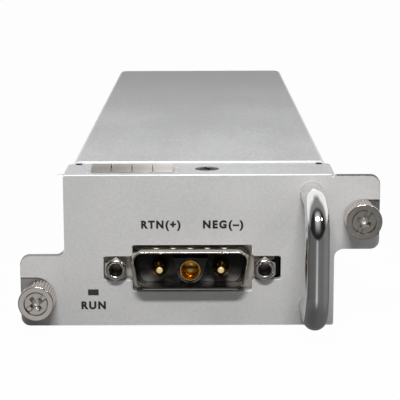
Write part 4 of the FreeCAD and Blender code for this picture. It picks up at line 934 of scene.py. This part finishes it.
BACK = (shell_high.y - shell_low.y) / MM
FACE = BACK - FLANGE_SHEET
stations = [
    (0.8, BACK), (0.8, 1.4), (0.8, 0.36), (0.78, 0.24), (0.72, 0.13), (0.64, 0.05), (0.56, 0.01),
    (0.51, 0.0), (0.42, 0.0), (0.38, 0.008), (0.34, 0.04), (0.32, 0.08), (0.31, 0.12),
]
for step in range(2, LIP_STEPS):
    stations.append((LIP_DEPTH * (1 - step / LIP_STEPS) ** 2, LIP_REACH * step / LIP_STEPS))
stations += [(0.0, LIP_REACH + 0.1 * step) for step in range(15)]
stations += [(0.0, FACE - 0.62), (-0.09, FACE - 0.3), (-0.3, FACE - 0.09), (-0.6, FACE), (-0.8, FACE)]


def dent(x, depth_back, z):
    """How far the top wall is pushed down at a place."""
    if z < SHELL_HEIGHT / 2 - 0.6:
        return 0.0
    away = min(math.hypot(x - centre, depth_back - DENT_BACK) for centre in DENTS) / DENT_RADIUS
    return DENT_DEPTH * (1 - away * away) ** 2 if away < 1 else 0.0


bm = bmesh.new()
loops = []
for inset, back in stations:
    loop = []
    for point in d_outline(inset):
        drop = dent(point.x, back, point.y)
        loop.append(bm.verts.new((
            plug.x + point.x * MM, shell_low.y + back * MM, plug.z + (point.y - drop) * MM)))
    loops.append(loop)
for low, high in zip(loops, loops[1:]):
    bridge(bm, low, high)


def plate_outline(y):
    """The flange's own outline, with rounded corners, its right end a little short of the window."""
    rise = FLANGE_HEIGHT / 2 - FLANGE_ROUND
    ring = []
    for quarter, (across, up) in enumerate(((1, 1), (-1, 1), (-1, -1), (1, -1))):
        half = FLANGE_WIDTH / 2 - FLANGE_ROUND - (TRIMMED if across > 0 else 0)
        for step in range(7):
            angle = math.pi / 2 * (quarter + step / 6)
            ring.append(bm.verts.new((
                plug.x + (across * half + FLANGE_ROUND * math.cos(angle)) * MM, y,
                plug.z + (up * rise + FLANGE_ROUND * math.sin(angle)) * MM)))
    return ring


def ring_edges(ring):
    pairs = zip(ring, ring[1:] + ring[:1])
    return [bm.edges.get(pair) or bm.edges.new(pair) for pair in pairs]


front_ring = plate_outline(shell_high.y - FLANGE_SHEET * MM)
rear_ring = plate_outline(shell_high.y)
bridge(bm, front_ring, rear_ring)
for ring, loop in ((front_ring, loops[-1]), (rear_ring, loops[0])):
    bmesh.ops.triangle_fill(bm, use_beauty=True, edges=ring_edges(ring) + ring_edges(loop))
place_piece("plug_shell", finished(bm), tinned, "case", "tinned_shell", "connector_shell")

# %% [markdown]
# The lock screws beside the plug are hexagonal nickel posts with a turned end and a tapped hole. A spun
# outline whose radius is held inside a hexagon gives the curved edges that turning leaves on the corners.

# %% Lock screws
JACK_FLATS = 4.76
JACK_TOP = 4.8
JACK_OUTLINE = [
    (0, -4.0), (1.2, -4.0), (1.35, -3.85), (1.35, 0.0), (4, 0.0), (4, 3.7), (2.66, 3.86), (2.5, 4.12),
    (2.36, 4.4), (2.2, 4.6), (2.02, 4.73), (1.86, 4.785), (1.75, JACK_TOP), (1.66, 4.785), (1.56, 4.73),
    (1.45, 4.6), (1.34, 4.3), (1.24, 3.9), (1.24, -3.0), (0, -3.4),
]


def in_hexagon(angle, radius, height):
    """Holds the post's outside within its flats."""
    if height < 0 or radius < 1.6:
        return radius
    sector = math.tau / 6
    flat = JACK_FLATS / 2 / math.cos((angle + sector / 2) % sector - sector / 2)
    return min(radius, flat)


jack_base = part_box("jackscrews")[0].y + JACK_TOP * MM
posts = []
for side in (-1, 1):
    hole_thread = thread(jack_nickel, 6.0, radius=1.24, height=3.6, ridge=0.06, base=0.5)
    post = joined(spun(JACK_OUTLINE, 120, in_hexagon), hole_thread)
    post.transform(to_front(plug.x + side * JACK_SPACING / 2 * MM, jack_base, plug.z))
    posts.append(post)
place_piece("lock_screws", joined(*posts), jack_nickel, "case", "jack_nickel", "jackscrews")

# %% [markdown]
# The contacts are turned from brass and gold plated: two heavy pins with a tapered nose, and one socket.
# Their tails are hidden in the case, so a plain bent rod is enough for them.

# %% Pins and socket
pin_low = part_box("power_pins")[0]
socket_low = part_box("return_socket")[0]
BODY_DEPTH = 9.0
CONTACT_STEP = 6.86
TAIL_RADIUS = 1.2
TAIL_BEND = 1.2
body_back = shell_high.y + BODY_DEPTH * MM
nose_to_back = (body_back - pin_low.y) / MM
PIN_FOOT = [(0, 0.0), (1.2, 0.0), (1.8, 0.2)]
PIN_NOSE = [(1.8, 1.85), (1.74, 1.66), (0.76, 0.2), (0.65, 0.06), (0.56, 0), (0.5, 0), (0, 0)]
SOCKET_FOOT = [(0, 0.0), (2.35, 0.0)]
SOCKET_NOSE = [(2.35, 0.12), (2.29, 0.02), (2.2, 0), (2.1, 0.02), (2.0, 0.2), (2.0, 5.0), (0, 6.2)]


def contact(foot, nose, steps, x):
    """A turned contact, its foot measured from the back of the plug's body and its nose from its front."""
    mesh = spun(foot + [(radius, nose_to_back - behind) for radius, behind in nose], steps)
    mesh.transform(to_front(x, body_back, plug.z))
    return mesh


def tail(x, back, floor):
    """A contact's tail: straight back out of the plug, then down through the board."""
    corner = Vector((x, body_back + back * MM, plug.z))
    line = [Vector((x, body_back - 0.2 * MM, plug.z)), corner - Vector((0, TAIL_BEND * MM, 0)),
            corner - Vector((0, 0.35 * MM, 0.35 * MM)), corner - Vector((0, 0, TAIL_BEND * MM)),
            Vector((x, corner.y, floor))]
    return rod_tree.run(line_mesh(line), gold, Radius=TAIL_RADIUS * MM, Sides=24)


pins = []
for side in (-1, 1):
    x = plug.x + side * CONTACT_STEP * MM
    pins += [contact(PIN_FOOT, PIN_NOSE, 64, x), tail(x, 3.0, pin_low.z)]
place_piece("gold_pins", joined(*pins), gold, "case", "gold_contact", "power_pins")
socket = joined(contact(SOCKET_FOOT, SOCKET_NOSE, 72, plug.x), tail(plug.x, 6.0, socket_low.z))
place_piece("gold_socket", socket, gold, "case", "gold_contact", "return_socket")

# %% [markdown]
# Folded sheet never has a knife edge. The sheet pieces and mouldings are copies of the CAD solids: the
# loose triangles are merged, flat neighbours are joined, and a narrow bevel breaks every sharp edge.

# %% Sheet metal and mouldings with broken edges


def broken_edges(node, width, angle=40):
    """A copy of a CAD node with a narrow bevel on its sharp edges."""
    bm = bmesh.new()
    bm.from_mesh(nodes[node].data)
    bmesh.ops.remove_doubles(bm, verts=bm.verts, dist=1e-6)
    bmesh.ops.dissolve_limit(bm, angle_limit=math.radians(0.6), verts=bm.verts, edges=bm.edges)

    def modify(item):
        bevel = item.modifiers.new("bevel", "BEVEL")
        bevel.width = width * MM
        bevel.segments = 2
        bevel.limit_method = "ANGLE"
        bevel.angle_limit = math.radians(angle)
        bevel.use_clamp_overlap = False

    return smooth(evaluated(as_mesh(bm), modify), 28)


for node, name, finish, slot, width in (
    ("top_cover", "cover_sheet", galvanised, "galvanised", 0.10),
    ("tray", "tray_sheet", galvanised, "galvanised", 0.08),
    ("front_panel", "panel_sheet", plated, "plated_steel", 0.08),
    ("connector_body", "plug_insulator", insulator, "black_insulator", 0.10),
    ("backplane_housing", "rear_housing", insulator, "black_insulator", 0.25),
):
    place_piece(name, broken_edges(node, width), finish, "case", slot, node)

# %% [markdown]
# Four spring leaves stand in a row on the flange. One leaf is a thin arched strip whose long edges turn
# down a little, and the row tree copies it, each with a slightly different lean, as real leaves have.

# %% Contact fingers
strip_low, strip_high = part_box("finger_strip")
FINGERS = 4
FINGER_WIDTH, FINGER_GAP, FINGER_LENGTH = 4.2, 0.45, 7.0
LEAF_SHEET = 0.15
LEAF_STEPS = 32


def leaf():
    """One arched leaf, drawn round its own middle."""
    bm = bmesh.new()
    half = FINGER_WIDTH / 2
    rise = (strip_high.z - strip_low.z) / MM - LEAF_SHEET
    arch = (FINGER_LENGTH * FINGER_LENGTH / 4 + rise * rise) / (2 * rise)
    rows = []
    for step in range(LEAF_STEPS + 1):
        y = (step / LEAF_STEPS - 0.5) * FINGER_LENGTH
        z = math.sqrt(arch * arch - y * y) - arch + rise
        row = []
        for across in (-1, -0.94, -0.5, 0, 0.5, 0.94, 1):
            dip = 0.06 if abs(across) == 1 else 0.0
            row.append(bm.verts.new((across * half * MM, y * MM, (z - dip) * MM)))
        rows.append(row)
    for low, high in zip(rows, rows[1:]):
        bridge(bm, low, high, closed=False)

    def modify(item):
        wall = item.modifiers.new("wall", "SOLIDIFY")
        wall.thickness = LEAF_SHEET * MM
        wall.offset = 1.0

    return evaluated(as_mesh(bm), modify)


step = (FINGER_WIDTH + FINGER_GAP) * MM
row = row_tree.run(leaf(), spring, Copies=FINGERS, Step=(step, 0, 0), Tilt=0.006, Seed=4)
row.transform(Matrix.Translation((
    strip_low.x + FINGER_WIDTH / 2 * MM, middle("finger_strip").y, strip_low.z)))
place_piece("spring_fingers", row, spring, "case", "contact_spring", "finger_strip")

# %% [markdown]
# The flange screw and the cover's screws are dark countersunk screws. One head is spun and carved, then
# placed four times on the cover's sides and once on the flange.

# %% Countersunk screws
SUNK_RISE = 0.03


def sunk_head(length):
    """A countersunk screw with a cross recess, its head's plane at zero and pointing up."""
    end = max(-6.4, -length)
    outline = [
        (0, end), (1.3, end), (1.5, 0.2 - length), (1.5, -1.25), (2.72, -0.06), (2.72, -0.02), (2.66, 0.0),
        (0, SUNK_RISE),
    ]
    return carved(spun(outline, 64), cross_cutter(reach=1.65, width=0.8, depth=1.3, top=SUNK_RISE))


hole = middle("flange_screw")
hole.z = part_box("flange_screw")[1].z - SUNK_RISE * MM
screw = sunk_head(6.5)
screw.transform(Matrix.Translation(hole) @ Matrix.Rotation(math.radians(20), 4, "Z"))
place_piece("flange_screw_dark", screw, dark_screw, "case", "dark_screw", "flange_screw")

low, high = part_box("cover_screws")
head_radius = 2.75 * MM
heads = []
for x, sign in ((low.x, -1), (high.x, 1)):
    for y in (low.y + head_radius, high.y - head_radius):
        screw = sunk_head(4.0)
        screw.transform(Matrix.Translation((x - sign * SUNK_RISE * MM, y, middle("cover_screws").z))
                        @ Matrix.Rotation(sign * math.pi / 2, 4, "Y"))
        heads.append(screw)
place_piece("cover_screws_dark", joined(*heads), dark_screw, "case", "dark_screw", "cover_screws")

# %% [markdown]
# The panel's words are printed in black on the film: the return and negative poles and the run lamp. Text
# is made a mesh first, thickened by a few hundredths of a millimetre, and then laid on the film. The list
# gives each word, the X and Z of its middle and its width, in millimetres.

# %% Printed legends
legends = {
    "legend_return": ("RTN(+)", -8.55, 23.4, 8.8),
    "legend_negative": ("NEG(\u2013)", 5.35, 23.4, 9.0),
    "legend_run": ("RUN", -23.85, 4.86, 5.5),
}
CAPITAL = 1.72
FONT_CAPITAL = 0.729


def printed(text, x, z, width):
    """A word on the film, its capitals centred at a height."""
    curve = bpy.data.curves.new("word", "FONT")
    curve.body = text
    curve.size = 1.0
    curve.align_x = "CENTER"
    curve.offset = 0.052
    curve.space_character = 1.3
    curve.extrude = 0.012
    mesh = evaluated(curve)
    xs = [vertex.co.x for vertex in mesh.vertices]
    scale = Matrix.Diagonal((width / (max(xs) - min(xs)), CAPITAL / FONT_CAPITAL, 1.0, 1.0))
    shift = Matrix.Translation((-(max(xs) + min(xs)) / 2, -FONT_CAPITAL / 2, 0))
    place = to_front(x * MM, film_low.y - 0.004 * MM, z * MM)
    mesh.transform(place @ Matrix.Scale(MM, 4) @ scale @ shift)
    return mesh


for name, (text, x, z, width) in legends.items():
    place_piece(name, printed(text, x, z, width), ink, "case", "film")

# %% [markdown]
# The floor of the studio is pale and plain. To the camera it glows white, through a Mix Shader that asks
# the Light Path node which ray it is, so that the ground meets the background without a line.

# %% Floor
bm = bmesh.new()
bmesh.ops.create_grid(bm, x_segments=1, y_segments=1, size=1.5)
FLOOR_GAP = 0.3
floor_mesh = as_mesh(bm)
floor_mesh.transform(Matrix.Translation((0, 0, -FLOOR_GAP * MM)))
floor = bpy.data.objects.new("floor", floor_mesh)
bpy.context.scene.collection.objects.link(floor)
floor.visible_glossy = False

floor_finish = Finish("pale_floor", Roughness=0.9)
mottle = floor_finish.noise(40, 3)
floor_finish.paint(Base_Color=floor_finish.mix(mottle, grey(0.38), grey(0.42)))
seen = floor_finish.ray("Camera") + floor_finish.ray("Transmission")
glow = floor_finish.add("ShaderNodeEmission", {"Color": (1, 1, 1, 1), "Strength": 1.0})
blend = floor_finish.add("ShaderNodeMixShader", {
    0: seen * 0.98, 1: floor_finish.shader.outputs[0], 2: glow.outputs[0]})
floor_finish.tree.links.new(blend.outputs[0], floor_finish.output.inputs["Surface"])
floor_mesh.materials.append(floor_finish.material)

# %% [markdown]
# The surround is plain white to the camera. Polished metal sees a studio in it instead: a white backdrop
# behind the object, a grey ceiling, a dark room ahead with a glow under the strip light, and low in front
# a grey table with a bright lane across it, which draws the long streak on the handle's grip. Matt
# surfaces get an even, dim light. All of it is worked out from the direction of the ray.

# %% Surround
world = bpy.data.worlds.new("studio")
world.use_nodes = True
bpy.context.scene.world = world
sky = Nodes(world.node_tree)
way = sky.add("ShaderNodeTexCoord").outputs["Generated"]
across, depth, height = (sky.field("ShaderNodeSeparateXYZ", {0: way}, letter) for letter in "XYZ")
wide = across * across
low = 1 - (height - wide * 0.3).ramp(-0.16, -0.02)
centre = 1 - wide.ramp(0.0, 0.14)
backdrop = (depth + wide * 0.25 - centre * 0.22).ramp(0.2, 0.6)
overhead = depth.ramp(-0.3, 0.0) * 0.24
ahead = (1 - wide.ramp(0.0, 0.3)) * height.ramp(0.1, 0.75) * (1 - depth.ramp(-0.5, -0.2)) * 0.5
upper = 0.02 + ahead + overhead * (1 - backdrop) + backdrop * 0.98
away = (across + 0.095) * (1 / 0.23)
lane = 0.43 - (away * away).ramp(0.0, 1.0) * 0.41 - (away * away).ramp(1.0, 9.0) * 0.02
lane = lane * (0.6 + (1 - height.ramp(-0.27, -0.2)) * 0.4)
lane = lane * height.ramp(-0.8, -0.35) * (1 - depth.ramp(-0.75, -0.45))
edges = across.ramp(0.7, 1.0) * 0.06 - (across * -1).ramp(0.9, 1.0) * 0.03
table = 0.122 + across.ramp(-0.5, 0.5) * 0.025 + edges - (1 - height.ramp(-0.9, -0.4)) * 0.035
tent = upper * (1 - low) + (table + lane) * low
seen = sky.ray("Camera") + sky.ray("Transmission")
mirrored = sky.ray("Glossy")
strength = seen + mirrored * tent + (1 - seen - mirrored) * 0.165
light = sky.field("ShaderNodeBackground", {"Color": (1, 1, 1, 1), "Strength": strength})
sky.add("ShaderNodeOutputWorld", {0: light})

# %% [markdown]
# One wide strip light hangs above and in front, and gives the rims their unbroken highlight and the
# panel its short soft shadows. A small, weak lamp far to the right adds a second glint.

# %% Lamps
AIM = (0, -102, 17)


def softbox(name, place, size, power):
    """A soft light of a size that hangs at a place and looks at the panel, in millimetres."""
    lamp = bpy.data.lights.new(name, "AREA")
    lamp.shape = "RECTANGLE"
    lamp.size, lamp.size_y = size[0] * MM, size[1] * MM
    lamp.energy = power
    item = bpy.data.objects.new(name, lamp)
    item.location = Vector(place) * MM
    item.rotation_euler = (Vector(AIM) - Vector(place)).to_track_quat("-Z", "Y").to_euler()
    bpy.context.scene.collection.objects.link(item)
    return item


softbox("key_light", (0, -372, 339), (165, 46), 1.8)
softbox("far_light", (282, -340, 330), (34, 34), 0.16)

# %% [markdown]
# The camera was worked out from the photograph's own edges: the panel's sides, the case's vanishing lines
# and the plug's lock screws. It stands about a third of a metre in front of the panel and looks down by
# eleven degrees. Its place is measured from the plane of the ears' rear faces, 2.3 mm behind the film.

# %% Camera
FOCUS_PIXELS = 1466.4
FRAME_PIXELS = 400
SENSOR = 36
pitch, yaw, roll = 0.19096, -0.00199, -0.00369
seat_y = film_low.y / MM + 2.3
eye = Vector((0.846, seat_y - 322.376, 90.781)) * MM
forward = Vector((math.sin(yaw) * math.cos(pitch), math.cos(yaw) * math.cos(pitch), -math.sin(pitch)))
right = Vector((math.cos(yaw), -math.sin(yaw), 0))
up = right.cross(forward)
level_right = right * math.cos(roll) + up * math.sin(roll)
level_up = up * math.cos(roll) - right * math.sin(roll)
lens = bpy.data.cameras.new("camera")
lens.sensor_width = SENSOR
lens.lens = FOCUS_PIXELS / FRAME_PIXELS * SENSOR
lens.clip_start = 0.01
lens.clip_end = 20
camera = bpy.data.objects.new("camera", lens)
turned = Matrix((level_right, level_up, -forward)).transposed().to_4x4()
camera.matrix_world = Matrix.Translation(eye) @ turned
bpy.context.scene.collection.objects.link(camera)
bpy.context.scene.camera = camera
bpy.context.scene.view_settings.view_transform = "Standard"
